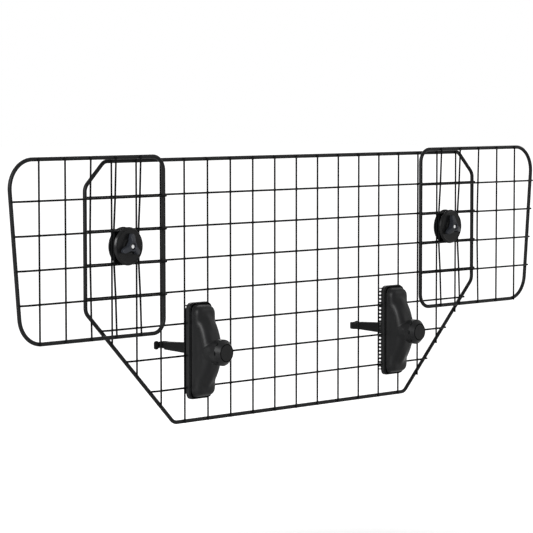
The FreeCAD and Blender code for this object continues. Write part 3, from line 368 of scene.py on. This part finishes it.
def merged_copy(node):
    """A copy of a construction node with its loose triangles merged into faces."""
    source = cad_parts[node]
    piece = source.copy()
    piece.data = source.data.copy()
    for key in list(piece.keys()):
        del piece[key]
    piece.parent = None
    bpy.context.scene.collection.objects.link(piece)
    select_only(piece)
    bpy.ops.object.mode_set(mode="EDIT")
    bpy.ops.mesh.customdata_custom_splitnormals_clear()
    bpy.ops.mesh.select_all(action="SELECT")
    bpy.ops.mesh.remove_doubles(threshold=MERGE_DISTANCE)
    bpy.ops.mesh.dissolve_limited(angle_limit=math.radians(FLAT_ANGLE))
    bpy.ops.object.mode_set(mode="OBJECT")
    return piece


def round_edges(piece, width, segments=3):
    """Round a piece's sharp edges, and keep its flat faces flat in their shading."""
    bevel = piece.modifiers.new("Edges", "BEVEL")
    bevel.width = width
    bevel.segments = segments
    bevel.limit_method = "ANGLE"
    bevel.angle_limit = math.radians(EDGE_ANGLE)
    apply_modifiers(piece)
    smooth(piece, EDGE_SHADING)
    level = piece.modifiers.new("Level faces", "WEIGHTED_NORMAL")
    level.weight = 100
    level.keep_sharp = True
    apply_modifiers(piece)


def relax(piece, steps, group=""):
    """Even out a skin, or the part of it that a vertex group names."""
    evening = piece.modifiers.new("Relax", "SMOOTH")
    evening.factor = 0.5
    evening.iterations = steps
    evening.vertex_group = group
    apply_modifiers(piece)
    smooth(piece, SKIN_SHADING)


def soften(piece, grid, steps):
    """Blend the forms of a moulded piece into one skin with soft edges."""
    skin = piece.modifiers.new("Skin", "REMESH")
    skin.mode = "VOXEL"
    skin.voxel_size = grid
    apply_modifiers(piece)
    relax(piece, steps)


def ramp(distance, width):
    """An even rise from 0 at no distance to 1 at the full width."""
    return min(1.0, max(0.0, distance / width))


def plain_block(middle, size):
    """A block of a size around its middle."""
    bpy.ops.mesh.primitive_cube_add(size=1, location=middle)
    piece = bpy.context.object
    piece.scale = size
    settle(piece)
    return piece


def round_bar(middle, radius, length, sides=64):
    """A cylinder that lies from the front to the back."""
    bpy.ops.mesh.primitive_cylinder_add(
        vertices=sides, radius=radius, depth=length, location=middle, rotation=FRONT_TURN)
    piece = bpy.context.object
    settle(piece)
    return piece


# Finishes

def new_material(name):
    """A material with nothing in it but one shader."""
    material = bpy.data.materials.new(name)
    material.use_nodes = True
    nodes = material.node_tree.nodes
    nodes.clear()
    output = nodes.new("ShaderNodeOutputMaterial")
    shader = nodes.new("ShaderNodeBsdfPrincipled")
    material.node_tree.links.new(shader.outputs["BSDF"], output.inputs["Surface"])
    return material, shader


def noise(material, scale, detail, stretch=(1, 1, 1)):
    """Noise on the object's own coordinates, in cycles a metre."""
    tree = material.node_tree
    place = tree.nodes.new("ShaderNodeTexCoord")
    mapping = tree.nodes.new("ShaderNodeMapping")
    mapping.inputs["Scale"].default_value = stretch
    pattern = tree.nodes.new("ShaderNodeTexNoise")
    pattern.inputs["Scale"].default_value = scale
    pattern.inputs["Detail"].default_value = detail
    tree.links.new(place.outputs["Object"], mapping.inputs["Vector"])
    tree.links.new(mapping.outputs["Vector"], pattern.inputs["Vector"])
    return pattern.outputs["Fac"]


def ranged(material, value, target, source=NOISE_MIDDLE):
    """Spread the source's range of a value over the target's range."""
    tree = material.node_tree
    node = tree.nodes.new("ShaderNodeMapRange")
    node.inputs["From Min"].default_value, node.inputs["From Max"].default_value = source
    node.inputs["To Min"].default_value, node.inputs["To Max"].default_value = target
    tree.links.new(value, node.inputs["Value"])
    return node.outputs["Result"]


def tinted(material, value, dark, light):
    """A colour between a dark and a light one, as the value says."""
    tree = material.node_tree
    node = tree.nodes.new("ShaderNodeMix")
    node.data_type = "RGBA"
    node.inputs["A"].default_value = (*dark, 1)
    node.inputs["B"].default_value = (*light, 1)
    tree.links.new(value, node.inputs["Factor"])
    return node.outputs["Result"]


def bumped(material, value, relief, base=None):
    """A relief in the shading, on top of another one if there is any."""
    tree = material.node_tree
    node = tree.nodes.new("ShaderNodeBump")
    node.inputs["Strength"].default_value, node.inputs["Distance"].default_value = relief
    tree.links.new(value, node.inputs["Height"])
    if base:
        tree.links.new(base, node.inputs["Normal"])
    return node.outputs["Normal"]


def shade(colour, factor):
    """The same colour, darker or lighter."""
    return tuple(min(1.0, part * factor) for part in colour)


def cloud_over(material, shader, pattern, colour, tones):
    """Let a finish's colour drift between a darker and a lighter tone of it."""
    dark, light = (shade(colour, tone) for tone in tones)
    drift = tinted(material, noise(material, *pattern), dark, light)
    material.node_tree.links.new(drift, shader.inputs["Base Color"])


def coated_wire(name, colour, specular):
    """Black coat on steel wire: satin, with slow changes of tone."""
    material, shader = new_material(name)
    cloud_over(material, shader, WIRE_CLOUD, colour, WIRE_TONES)
    shader.inputs["Roughness"].default_value = WIRE_ROUGHNESS
    shader.inputs["Specular IOR Level"].default_value = specular
    return material


def moulded_plastic(name, colour, roughness, specular):
    """Moulded plastic with a fine eroded grain and slow changes of sheen."""
    material, shader = new_material(name)
    tree = material.node_tree
    cloud_over(material, shader, PLASTIC_CLOUD, colour, PLASTIC_TONES)
    sheens = [roughness + spread for spread in SHEEN_SPREAD]
    tree.links.new(ranged(material, noise(material, *PLASTIC_SHEEN), sheens),
                   shader.inputs["Roughness"])
    shader.inputs["Specular IOR Level"].default_value = specular
    waves = bumped(material, noise(material, *PLASTIC_WAVES), WAVE_RELIEF)
    grain = bumped(material, noise(material, *PLASTIC_GRAIN), GRAIN_RELIEF, waves)
    tree.links.new(grain, shader.inputs["Normal"])
    return material


def zinc_plate(colour):
    """Bright plated steel with turning marks and slightly clouded patches."""
    material, shader = new_material("zinc_plate")
    tree = material.node_tree
    cloud_over(material, shader, ZINC_CLOUD, colour, ZINC_TONES)
    shader.inputs["Metallic"].default_value = 1.0
    tree.links.new(ranged(material, noise(material, *ZINC_SHEEN), ZINC_ROUGHNESS),
                   shader.inputs["Roughness"])
    marks = bumped(material, noise(material, *ZINC_MARKS, TURNED), MARK_RELIEF)
    tree.links.new(marks, shader.inputs["Normal"])
    return material


def finish(name):
    """The named finish, made once."""
    if name in bpy.data.materials:
        return bpy.data.materials[name]
    colours = bpy.context.scene.guard_finish
    if name in WIRE_COATS:
        share, specular = WIRE_COATS[name]
        return coated_wire(name, shade(colours.wire_colour, share), specular)
    if name in PLASTICS:
        colour, share, roughness, specular = PLASTICS[name]
        return moulded_plastic(name, shade(getattr(colours, colour), share), roughness, specular)
    return zinc_plate(colours.zinc_colour)


def paint(piece, coat):
    """Give a piece one finish alone."""
    piece.data.materials.clear()
    piece.data.materials.append(finish(coat))


# Where the mesh's wires cross

def front_of(node, x, z):
    """The depth of a wire's front at a place, or nothing where the wire isn't there."""
    start, ahead = Vector((x, FEEL_FROM, z)), Vector((0, 1, 0))
    hit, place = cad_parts[node].ray_cast(start, ahead)[:2]
    return place.y if hit else None


def mesh_lines():
    """Upright and cross places of the whole mesh, from the construction's own box."""
    sizes = bpy.context.scene.guard_sizes
    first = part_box("main_cross_wires")[0].z + sizes.wire / 2
    rows = [first + step * sizes.mesh_pitch for step in ROW_STEPS]
    columns = [step * sizes.mesh_pitch for step in COLUMN_STEPS]
    return columns, rows


def wire_crossings(uprights, cross_wires):
    """The seats of the welds, wherever a set of uprights meets a set of cross wires."""
    columns, rows = mesh_lines()
    wire = bpy.context.scene.guard_sizes.wire
    found = []
    for x in columns:
        for z in rows:
            cross = front_of(cross_wires, x + FEEL_BESIDE * wire, z)
            upright = front_of(uprights, x, z + FEEL_BESIDE * wire)
            if cross is not None and upright is not None:
                found.append(Vector((x, cross + wire * WELD_SEAT, z)))
    return found


def add_welds(places, name, body):
    """One flattened coated blob at each place, joined into one piece."""
    sizes = bpy.context.scene.guard_sizes
    bpy.ops.mesh.primitive_uv_sphere_add(segments=10, ring_count=6, radius=0.5, location=(0, 0, 0))
    blob = bpy.context.object
    blob.scale = (sizes.weld_width, sizes.weld_depth, sizes.weld_width)
    settle(blob)
    copies = []
    for place in places:
        copy = blob.copy()
        copy.data = blob.data.copy()
        copy.location = place
        bpy.context.scene.collection.objects.link(copy)
        copies.append(copy)
    bpy.data.objects.remove(blob)
    select_only(*copies)
    bpy.ops.object.join()
    piece = bpy.context.object
    settle(piece)
    smooth(piece, BLOB_SHADING)
    seat(piece, name, body, "mesh_coat", "wire")


# One operator for each piece or group of like pieces

class GUARD_OT_stage(bpy.types.Operator):
    """Lay the floor, hang the lamps and place the camera"""
    bl_idname = "guard.stage"
    bl_label = "Studio"

    def execute(self, context):
        lay_floor()
        for lamp in LAMPS:
            hang_lamp(*lamp)
        light_world()
        place_camera()
        context.scene.view_settings.view_transform = "Standard"
        return {"FINISHED"}


def lay_floor():
    """A white floor that keeps the shadow near the guard and glows to white away from it."""
    bpy.ops.object.select_all(action="DESELECT")
    bpy.ops.mesh.primitive_plane_add(size=FLOOR_SIZE, location=(0, 0, FLOOR_HEIGHT))
    floor = bpy.context.object
    floor.name = "floor"
    settle(floor)
    material, shader = new_material("studio_floor")
    colour = bpy.context.scene.guard_finish.floor_colour
    shader.inputs["Base Color"].default_value = (*colour, 1)
    shader.inputs["Roughness"].default_value = FLOOR_ROUGHNESS
    shader.inputs["Specular IOR Level"].default_value = FLOOR_SPECULAR
    tree = material.node_tree
    output = next(node for node in tree.nodes if node.type == "OUTPUT_MATERIAL")
    place = tree.nodes.new("ShaderNodeTexCoord")
    distance = tree.nodes.new("ShaderNodeVectorMath")
    distance.operation = "LENGTH"
    tree.links.new(place.outputs["Object"], distance.inputs[0])
    glow = tree.nodes.new("ShaderNodeEmission")
    glow.inputs["Color"].default_value = WHITE
    tree.links.new(ranged(material, distance.outputs["Value"], GLOW_STRENGTHS, GLOW_RADII),
                   glow.inputs["Strength"])
    both = tree.nodes.new("ShaderNodeAddShader")
    seen = tree.nodes.new("ShaderNodeMixShader")
    tree.links.new(shader.outputs["BSDF"], both.inputs[0])
    tree.links.new(glow.outputs["Emission"], both.inputs[1])
    tree.links.new(looking_rays(tree), seen.inputs["Fac"])
    tree.links.new(shader.outputs["BSDF"], seen.inputs[1])
    tree.links.new(both.outputs["Shader"], seen.inputs[2])
    tree.links.new(seen.outputs["Shader"], output.inputs["Surface"])
    floor.data.materials.append(material)


def looking_rays(tree):
    """1 for the rays that show the background: straight, mirrored or through glass."""
    path = tree.nodes.new("ShaderNodeLightPath")
    total = path.outputs["Is Camera Ray"]
    for kind in ("Is Glossy Ray", "Is Transmission Ray"):
        both = tree.nodes.new("ShaderNodeMath")
        both.operation = "MAXIMUM"
        tree.links.new(total, both.inputs[0])
        tree.links.new(path.outputs[kind], both.inputs[1])
        total = both.outputs["Value"]
    return total


def hang_lamp(name, azimuth, elevation, distance, width, height, power):
    """A soft panel lamp that faces the guard. Azimuth 0 is in front of it."""
    turn, lift = math.radians(azimuth), math.radians(elevation)
    place = Vector((math.sin(turn) * math.cos(lift), -math.cos(turn) * math.cos(lift),
                    math.sin(lift))) * distance
    bpy.ops.object.light_add(type="AREA", location=place)
    lamp = bpy.context.object
    lamp.name = name
    lamp.data.shape = "RECTANGLE"
    lamp.data.size = width
    lamp.data.size_y = height
    lamp.data.energy = power
    lamp.rotation_euler = (-place).to_track_quat("-Z", "Y").to_euler()


def light_world():
    """White to the eye, and a plain soft fill for everything that it lights."""
    world = bpy.data.worlds.new("studio")
    bpy.context.scene.world = world
    world.use_nodes = True
    tree = world.node_tree
    tree.nodes.clear()
    output = tree.nodes.new("ShaderNodeOutputWorld")
    seen = tree.nodes.new("ShaderNodeBackground")
    seen.inputs["Color"].default_value = WHITE
    fill = tree.nodes.new("ShaderNodeBackground")
    fill.inputs["Color"].default_value = WHITE
    fill.inputs["Strength"].default_value = WORLD_FILL
    mix = tree.nodes.new("ShaderNodeMixShader")
    tree.links.new(looking_rays(tree), mix.inputs["Fac"])
    tree.links.new(fill.outputs["Background"], mix.inputs[1])
    tree.links.new(seen.outputs["Background"], mix.inputs[2])
    tree.links.new(mix.outputs["Shader"], output.inputs["Surface"])


def place_camera():
    """Stand the camera where the photo was taken from, with the photo's lens."""
    yaw, tilt, roll = (math.radians(part) for part in (CAMERA_YAW, CAMERA_TILT, CAMERA_ROLL))
    ahead = Vector((math.sin(yaw) * math.cos(tilt), math.cos(yaw) * math.cos(tilt),
                    -math.sin(tilt)))
    right = Vector((math.cos(yaw), -math.sin(yaw), 0))
    down = ahead.cross(right)
    leaned_right = right * math.cos(roll) + down * math.sin(roll)
    leaned_down = down * math.cos(roll) - right * math.sin(roll)
    turn = Matrix((leaned_right, -leaned_down, -ahead)).transposed()
    bpy.ops.object.camera_add(location=CAMERA_PLACE)
    camera = bpy.context.object
    camera.name = "camera"
    camera.rotation_euler = turn.to_euler()
    camera.data.sensor_width = SENSOR_WIDTH
    camera.data.lens = SENSOR_WIDTH * FOCAL_PIXELS / PHOTO_WIDTH
    bpy.context.scene.camera = camera


class GUARD_OT_wires(bpy.types.Operator):
    """Coat the frames and the mesh wires"""
    bl_idname = "guard.wires"
    bl_label = "Coated wires"

    def execute(self, context):
        coat_wires("main_panel", "main_frame", "main_uprights", "main_cross_wires")
        for side in SIDES:
            coat_wires(f"{side}_wing", f"{side}_wing_frame", f"{side}_wing_uprights",
                       f"{side}_wing_cross_wires")
        return {"FINISHED"}


def trim_ends(wires, node):
    """Cut each mesh wire nearly flush with the frame that it is welded to."""
    sizes = bpy.context.scene.guard_sizes
    along, across = (2, 0) if node.endswith("uprights") else (0, 2)
    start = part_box(node)[0][across] + sizes.wire / 2
    rows = {}
    for vertex in wires.data.vertices:
        row = round((vertex.co[across] - start) / sizes.mesh_pitch)
        rows.setdefault(row, []).append(vertex)
    for wire in rows.values():
        low = min(vertex.co[along] for vertex in wire) + sizes.wire / 2
        high = max(vertex.co[along] for vertex in wire) - sizes.wire / 2
        for vertex in wire:
            if vertex.co[along] < low:
                vertex.co[along] += sizes.end_trim
            elif vertex.co[along] > high:
                vertex.co[along] -= sizes.end_trim


def coat_wires(body, *nodes):
    """Swell each set of bare wires by the thickness of its coat."""
    sizes = bpy.context.scene.guard_sizes
    for node in nodes:
        wires = merged_copy(node)
        thickness, coat = sizes.frame_coat, "wire_coat"
        if not node.endswith("frame"):
            trim_ends(wires, node)
            thickness, coat = sizes.mesh_coat, "mesh_coat"
        if node.endswith("wing_cross_wires"):
            wires.data.transform(Matrix.Translation((0, 0, -sizes.wing_row_drop)))
        swell = wires.modifiers.new("Coat", "DISPLACE")
        swell.strength = thickness
        swell.mid_level = 0
        apply_modifiers(wires)
        smooth(wires, EDGE_SHADING)
        seat(wires, f"{node}_coated", body, coat, "wire", node)


class GUARD_OT_welds(bpy.types.Operator):
    """Add the coated weld blobs where wires cross"""
    bl_idname = "guard.welds"
    bl_label = "Welds"

    def execute(self, context):
        add_welds(wire_crossings("main_uprights", "main_cross_wires"), "main_welds", "main_panel")
        drop = Vector((0, 0, context.scene.guard_sizes.wing_row_drop))
        for side in SIDES:
            places = wire_crossings(f"{side}_wing_uprights", f"{side}_wing_cross_wires")
            places = [place - drop for place in places]
            add_welds(places, f"{side}_wing_welds", f"{side}_wing")
        return {"FINISHED"}


class GUARD_OT_disc_clamps(bpy.types.Operator):
    """Dress the round discs, hand nuts and bolts that hold the wings"""
    bl_idname = "guard.disc_clamps"
    bl_label = "Disc clamps"

    def execute(self, context):
        sizes = context.scene.guard_sizes
        for side in SIDES:
            for part, edge, coat, slot in (("rear_disc", "disc", "disc_plastic", "disc"),
                                           ("disc_bolt", "bolt", "zinc_plate", "zinc")):
                piece = merged_copy(f"{side}_{part}")
                round_edges(piece, sizes.edge_round * EDGE_SHARES[edge])
                dress(piece, f"{side}_{part}", f"{side}_wing", coat, slot)
            disc = merged_copy(f"{side}_front_disc")
            soften(disc, sizes.disc_grid, RELAX_STEPS["disc"])
            slope_rim(disc, *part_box(f"{side}_front_disc"))
            dress(disc, f"{side}_front_disc", f"{side}_clamp_disc", "disc_plastic", "disc")
            grip = merged_copy(f"{side}_disc_knob")
            soften(grip, sizes.grip_grid, RELAX_STEPS["grip"])
            draw_lobes_in(grip, side)
            dress(grip, f"{side}_disc_knob", f"{side}_hand_nut", "grip_plastic", "grip")
            paint(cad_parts[f"{side}_disc_nut"], "zinc_plate")
            # A dark ring over the bright nut paints the shade in the hand nut's well
            seat(shade_ring(side), f"{side}_lock_ring", f"{side}_hand_nut", "disc_plastic", "disc")
        return {"FINISHED"}


def draw_lobes_in(grip, side):
    """Slim the hand nut's three lobes towards its hub and towards their middles."""
    sizes = bpy.context.scene.guard_sizes
    first = sizes.lobe_angle if side == "left" else math.pi - sizes.lobe_angle
    third = math.tau / 3
    low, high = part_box(f"{side}_disc_bolt")
    centre_x, centre_z = middle_of(low, high)
    hub = (high.z - low.z) / 2
    for vertex in grip.data.vertices:
        x, z = vertex.co.x - centre_x, vertex.co.z - centre_z
        reach, angle = math.hypot(x, z), math.atan2(z, x)
        off = (angle - first + third / 2) % third - third / 2
        outward = ramp(reach - hub, hub)
        along = reach * math.cos(off) * (1 - (1 - sizes.lobe_share) * outward)
        across = reach * math.sin(off) * (1 - (1 - sizes.lobe_slimness) * outward)
        lobe = angle - off
        vertex.co.x = centre_x + along * math.cos(lobe) - across * math.sin(lobe)
        vertex.co.z = centre_z + along * math.sin(lobe) + across * math.cos(lobe)


def slope_rim(disc, low, high):
    """Slope the front disc's rim back, with soft edges."""
    sizes = bpy.context.scene.guard_sizes
    centre_x, centre_z = middle_of(low, high)
    radius = (high.x - low.x) / 2
    for vertex in disc.data.vertices:
        place = vertex.co
        reach = math.hypot(place.x - centre_x, place.z - centre_z)
        outward = max(0.0, (reach - radius + sizes.rim_slope_width) / sizes.rim_slope_width)
        place.y = max(place.y, low.y + outward * sizes.rim_slope_depth)
    relax(disc, RELAX_STEPS["rim"])


def shade_ring(side):
    """The dark ring in the hand nut's well, around the end of the bolt: painted shade that keeps
    the well dark over the bright nut.
    """
    sizes = bpy.context.scene.guard_sizes
    low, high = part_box(f"{side}_disc_bolt")
    x, z = middle_of(low, high)
    depth = 2 * sizes.edge_round
    ring = round_bar((x, low.y + depth, z), sizes.lock_ring_radius, depth, 48)
    bpy.ops.object.mode_set(mode="EDIT")
    bpy.ops.mesh.select_mode(type="FACE")
    bpy.ops.mesh.select_all(action="DESELECT")
    bpy.ops.object.mode_set(mode="OBJECT")
    for face in ring.data.polygons:
        face.select = abs(face.normal.y) > FACING
    bpy.ops.object.mode_set(mode="EDIT")
    bpy.ops.mesh.inset(thickness=sizes.lock_ring_radius - sizes.lock_ring_bore)
    bpy.ops.mesh.bridge_edge_loops()
    bpy.ops.object.mode_set(mode="OBJECT")
    round_edges(ring, sizes.edge_round * EDGE_SHARES["ring"], 2)
    return ring


class GUARD_OT_casings(bpy.types.Operator):
    """Dress the toothed bases and the domed covers"""
    bl_idname = "guard.casings"
    bl_label = "Head-rest clamp casings"

    def execute(self, context):
        sizes = context.scene.guard_sizes
        for side in SIDES:
            base = merged_copy(f"{side}_clamp_base")
            deepen_teeth(base, side)
            round_edges(base, sizes.edge_round * EDGE_SHARES["base"], 2)
            dress(base, f"{side}_clamp_base", "main_panel", "casing_plastic", "casing")
            low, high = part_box(f"{side}_clamp_cover")
            cover = merged_copy(f"{side}_clamp_cover")
            add_round_hump(cover, low, high)
            soften(cover, sizes.casing_grid, RELAX_STEPS["cover"])
            set_dome_back(cover, low, high)
            blend_forms(cover, low, high)
            cut_channel(cover, side)
            dress(cover, f"{side}_clamp_cover", "main_panel", "casing_plastic", "casing")
            # The dark bead is painted shade where the cover's flat edge falls into shadow
            seat(edge_bead(low, high), f"{side}_cover_seam", "main_panel", "seam_black", "casing")
            for edge, way, depth in (("outer", OUTWARD[side], sizes.outer_skirt_depth),
                                     ("inner", -OUTWARD[side], sizes.inner_skirt_depth)):
                seat(side_skirt(side, way, depth), f"{side}_{edge}_skirt", "main_panel",
                     "casing_plastic", "casing")
        return {"FINISHED"}


def set_dome_back(cover, low, high):
    """Draw the dome's ends in a little, so that the cover's flat edge shows there."""
    sizes = bpy.context.scene.guard_sizes
    middle, half = (low.z + high.z) / 2, (high.z - low.z) / 2
    share = sizes.dome_setback / half
    for vertex in cover.data.vertices:
        ahead = ramp(high.y - sizes.cover_plate - vertex.co.y, sizes.dome_ramp)
        vertex.co.z -= (vertex.co.z - middle) * share * ahead


def blend_forms(cover, low, high):
    """Let the hump flow into the dome, and keep the rim and the collar crisp."""
    sizes = bpy.context.scene.guard_sizes
    centre_x, centre_z = middle_of(low, high)
    forms = cover.vertex_groups.new(name="forms")
    for vertex in cover.data.vertices:
        place = vertex.co
        radius = math.hypot(place.x - centre_x, place.z - centre_z)
        ahead = ramp(high.y - sizes.shoulder - place.y, sizes.shoulder_ramp)
        aside = ramp(radius - sizes.collar_radius, sizes.collar_ramp)
        forms.add([vertex.index], ahead * aside, "REPLACE")
    relax(cover, RELAX_STEPS["flow"], forms.name)


def cut_channel(cover, side):
    """Cut the arm's channel and the stud's hole back into the blended cover."""
    sizes = bpy.context.scene.guard_sizes
    low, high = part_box(f"{side}_clamp_cover")
    arm_low, arm_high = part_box(f"{side}_hook")
    stud_low, stud_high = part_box(f"{side}_stud")
    room = sizes.slide_room
    x = (low.x + high.x) / 2
    half_width = min(arm_high.x - x, x - arm_low.x) + room
    front, back = arm_low.y - sizes.arm_travel - room, high.y + room
    channel = plain_block((x, (front + back) / 2, (arm_low.z + arm_high.z) / 2),
                          (2 * half_width, back - front, arm_high.z - arm_low.z + 2 * room))
    front = low.y - room
    hole = round_bar((x, (front + back) / 2, (stud_low.z + stud_high.z) / 2),
                     (stud_high.x - stud_low.x) / 2 + room, back - front)
    for cutter in (channel, hole):
        cut = cover.modifiers.new("Room", "BOOLEAN")
        cut.operation = "DIFFERENCE"
        cut.solver = "EXACT"
        cut.object = cutter
        apply_modifiers(cover)
        bpy.data.objects.remove(cutter)
    smooth(cover, SKIN_SHADING)


def add_round_hump(cover, low, high):
    """Lay a long round form over the hump, so that the remesh joins them softly."""
    sizes = bpy.context.scene.guard_sizes
    x, z = middle_of(low, high)
    bpy.ops.mesh.primitive_uv_sphere_add(
        segments=64, ring_count=48, radius=1, location=(x, high.y, z))
    form = bpy.context.object
    form.scale = (sizes.hump_half_width, sizes.hump_rise, sizes.hump_half_length)
    settle(form)
    bpy.ops.object.mode_set(mode="EDIT")
    bpy.ops.mesh.select_all(action="SELECT")
    bpy.ops.mesh.bisect(plane_co=(x, high.y - sizes.cover_plate, z), plane_no=(0, 1, 0),
                        use_fill=True, clear_outer=True)
    bpy.ops.object.mode_set(mode="OBJECT")
    select_only(cover, form)
    bpy.ops.object.join()


def deepen_teeth(base, side):
    """Draw the tips of the teeth out past the mesh, as far as the real ones reach."""
    sizes = bpy.context.scene.guard_sizes
    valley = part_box(f"{side}_clamp_base")[1].y - sizes.tooth_depth
    for vertex in base.data.vertices:
        beyond = vertex.co.y - valley
        if beyond > 0:
            vertex.co.y = valley + beyond * sizes.tooth_stretch


def side_skirt(side, way, depth):
    """The low wall that closes the teeth's valleys along one edge of their row."""
    sizes = bpy.context.scene.guard_sizes
    low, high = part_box(f"{side}_clamp_base")
    x, z = middle_of(low, high)
    thickness = sizes.skirt_thickness
    edge = x + way * (sizes.tooth_half_width - thickness / 2)
    valley = high.y - sizes.tooth_depth
    bury = sizes.edge_round
    skirt = plain_block((edge, valley + (depth - bury) / 2, z),
                        (thickness, depth + bury, high.z - low.z - 2 * sizes.skirt_end))
    round_edges(skirt, thickness / 4, 2)
    return skirt


def edge_bead(low, high):
    """A dark bead that runs round the cover, just inside its edge: painted shade on the cover's
    shadowed flat edge.
    """
    sizes = bpy.context.scene.guard_sizes
    x, z = middle_of(low, high)
    bpy.ops.mesh.primitive_plane_add(size=1, location=(0, 0, 0))
    ring = bpy.context.object
    inset = 2 * BEAD_INSET * sizes.seam
    ring.scale = (high.x - low.x - inset, high.z - low.z - inset, 1)
    settle(ring)
    ring.rotation_euler = FRONT_TURN
    ring.location = (x, high.y - sizes.cover_plate, z)
    settle(ring)
    bpy.ops.object.mode_set(mode="EDIT")
    bpy.ops.mesh.select_all(action="SELECT")
    bpy.ops.mesh.bevel(offset=sizes.cover_corner, segments=8, affect="VERTICES")
    bpy.ops.mesh.delete(type="ONLY_FACE")
    bpy.ops.object.mode_set(mode="OBJECT")
    bpy.ops.object.convert(target="CURVE")
    path = bpy.context.object
    path.data.bevel_depth = sizes.seam
    path.data.bevel_resolution = 3
    bpy.ops.object.convert(target="MESH")
    ring = bpy.context.object
    smooth(ring, SKIN_SHADING)
    return ring


class GUARD_OT_hooks(bpy.types.Operator):
    """Dress the hooks, studs and washers"""
    bl_idname = "guard.hooks"
    bl_label = "Hooks"

    def execute(self, context):
        sizes = context.scene.guard_sizes
        for side in SIDES:
            hook = merged_copy(f"{side}_hook")
            soften(hook, sizes.hook_grid, RELAX_STEPS["hook"])
            shape_hook(hook, *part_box(f"{side}_hook"))
            dress(hook, f"{side}_hook", f"{side}_post_hook", "hook_plastic", "casing")
            for part in ("stud", "thrust_washer", "knob_nut"):
                paint(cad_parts[f"{side}_{part}"], "zinc_plate")
        return {"FINISHED"}


def shape_hook(hook, low, high):
    """Make the arm stouter behind the casing, and taper the claw's far end."""
    sizes = bpy.context.scene.guard_sizes
    middle = (low.z + high.z) / 2
    for vertex in hook.data.vertices:
        free = ramp(vertex.co.y - sizes.arm_free_from, sizes.arm_flare)
        tip = ramp(vertex.co.y - high.y + sizes.claw_taper, sizes.claw_taper)
        stoutness = 1 + (sizes.arm_stoutness - 1) * free - sizes.claw_slope * tip ** 2
        vertex.co.z = middle + (vertex.co.z - middle) * stoutness


class GUARD_OT_tension_knobs(bpy.types.Operator):
    """Dress the knobs that draw the hooks in"""
    bl_idname = "guard.tension_knobs"
    bl_label = "Tension knobs"

    def execute(self, context):
        edge = context.scene.guard_sizes.edge_round
        for side in SIDES:
            body = f"{side}_hand_knob"
            knob = merged_copy(f"{side}_tension_knob")
            round_edges(knob, edge * EDGE_SHARES["knob"])
            dress(knob, f"{side}_tension_knob", body, "casing_plastic", "casing")
            seat(knob_cap(side), f"{side}_knob_cap", body, "disc_plastic", "disc")
            # The dark bead around the cap is painted shade in the groove at the knob's end
            seat(cap_seam(side), f"{side}_cap_seam", body, "seam_black", "casing")
        return {"FINISHED"}


def knob_cap(side):
    """The flat cap in the end of a tension knob, a little proud of it."""
    sizes = bpy.context.scene.guard_sizes
    low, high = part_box(f"{side}_tension_knob")
    x, z = middle_of(low, high)
    proud = sizes.edge_round * EDGE_SHARES["cap"]
    cap = round_bar((x, low.y + proud, z), sizes.knob_cap_radius, 4 * proud)
    round_edges(cap, proud, 2)
    return cap


def cap_seam(side):
    """The dark bead around a tension knob's cap: painted shade in the groove there."""
    sizes = bpy.context.scene.guard_sizes
    low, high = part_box(f"{side}_tension_knob")
    x, z = middle_of(low, high)
    bpy.ops.mesh.primitive_torus_add(
        major_segments=64, minor_segments=10, rotation=FRONT_TURN,
        major_radius=sizes.knob_cap_radius + sizes.cap_seam / 2, minor_radius=sizes.cap_seam,
        location=(x, low.y + sizes.cap_seam / 2, z))
    ring = bpy.context.object
    settle(ring)
    smooth(ring, SKIN_SHADING)
    return ring


class GUARD_PT_panel(bpy.types.Panel):
    """Lists the guard's pieces in the sidebar"""
    bl_label = "Dog guard"
    bl_idname = "GUARD_PT_panel"
    bl_space_type = "VIEW_3D"
    bl_region_type = "UI"
    bl_category = "Dog guard"

    def draw(self, context):
        for group in (context.scene.guard_finish, context.scene.guard_sizes):
            for name in group.bl_rna.properties.keys():
                if name not in ("name", "rna_type"):
                    self.layout.prop(group, name)
        for step in STEPS:
            self.layout.operator(step.bl_idname)


STEPS = (
    GUARD_OT_stage, GUARD_OT_welds, GUARD_OT_wires, GUARD_OT_disc_clamps,
    GUARD_OT_casings, GUARD_OT_hooks, GUARD_OT_tension_knobs,
)
CLASSES = (GuardFinish, GuardSizes) + STEPS + (GUARD_PT_panel,)


def register():
    """Add the guard's settings, steps and panel to the program."""
    for item in CLASSES:
        bpy.utils.register_class(item)
    bpy.types.Scene.guard_finish = bpy.props.PointerProperty(type=GuardFinish)
    bpy.types.Scene.guard_sizes = bpy.props.PointerProperty(type=GuardSizes)


def unregister():
    """Take them away again."""
    del bpy.types.Scene.guard_sizes
    del bpy.types.Scene.guard_finish
    for item in reversed(CLASSES):
        bpy.utils.unregister_class(item)


def main():
    """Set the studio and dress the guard."""
    register()
    bpy.ops.guard.stage()
    bpy.ops.guard.welds()
    bpy.ops.guard.wires()
    bpy.ops.guard.disc_clamps()
    bpy.ops.guard.casings()
    bpy.ops.guard.hooks()
    bpy.ops.guard.tension_knobs()


if __name__ == "__main__":
    main()
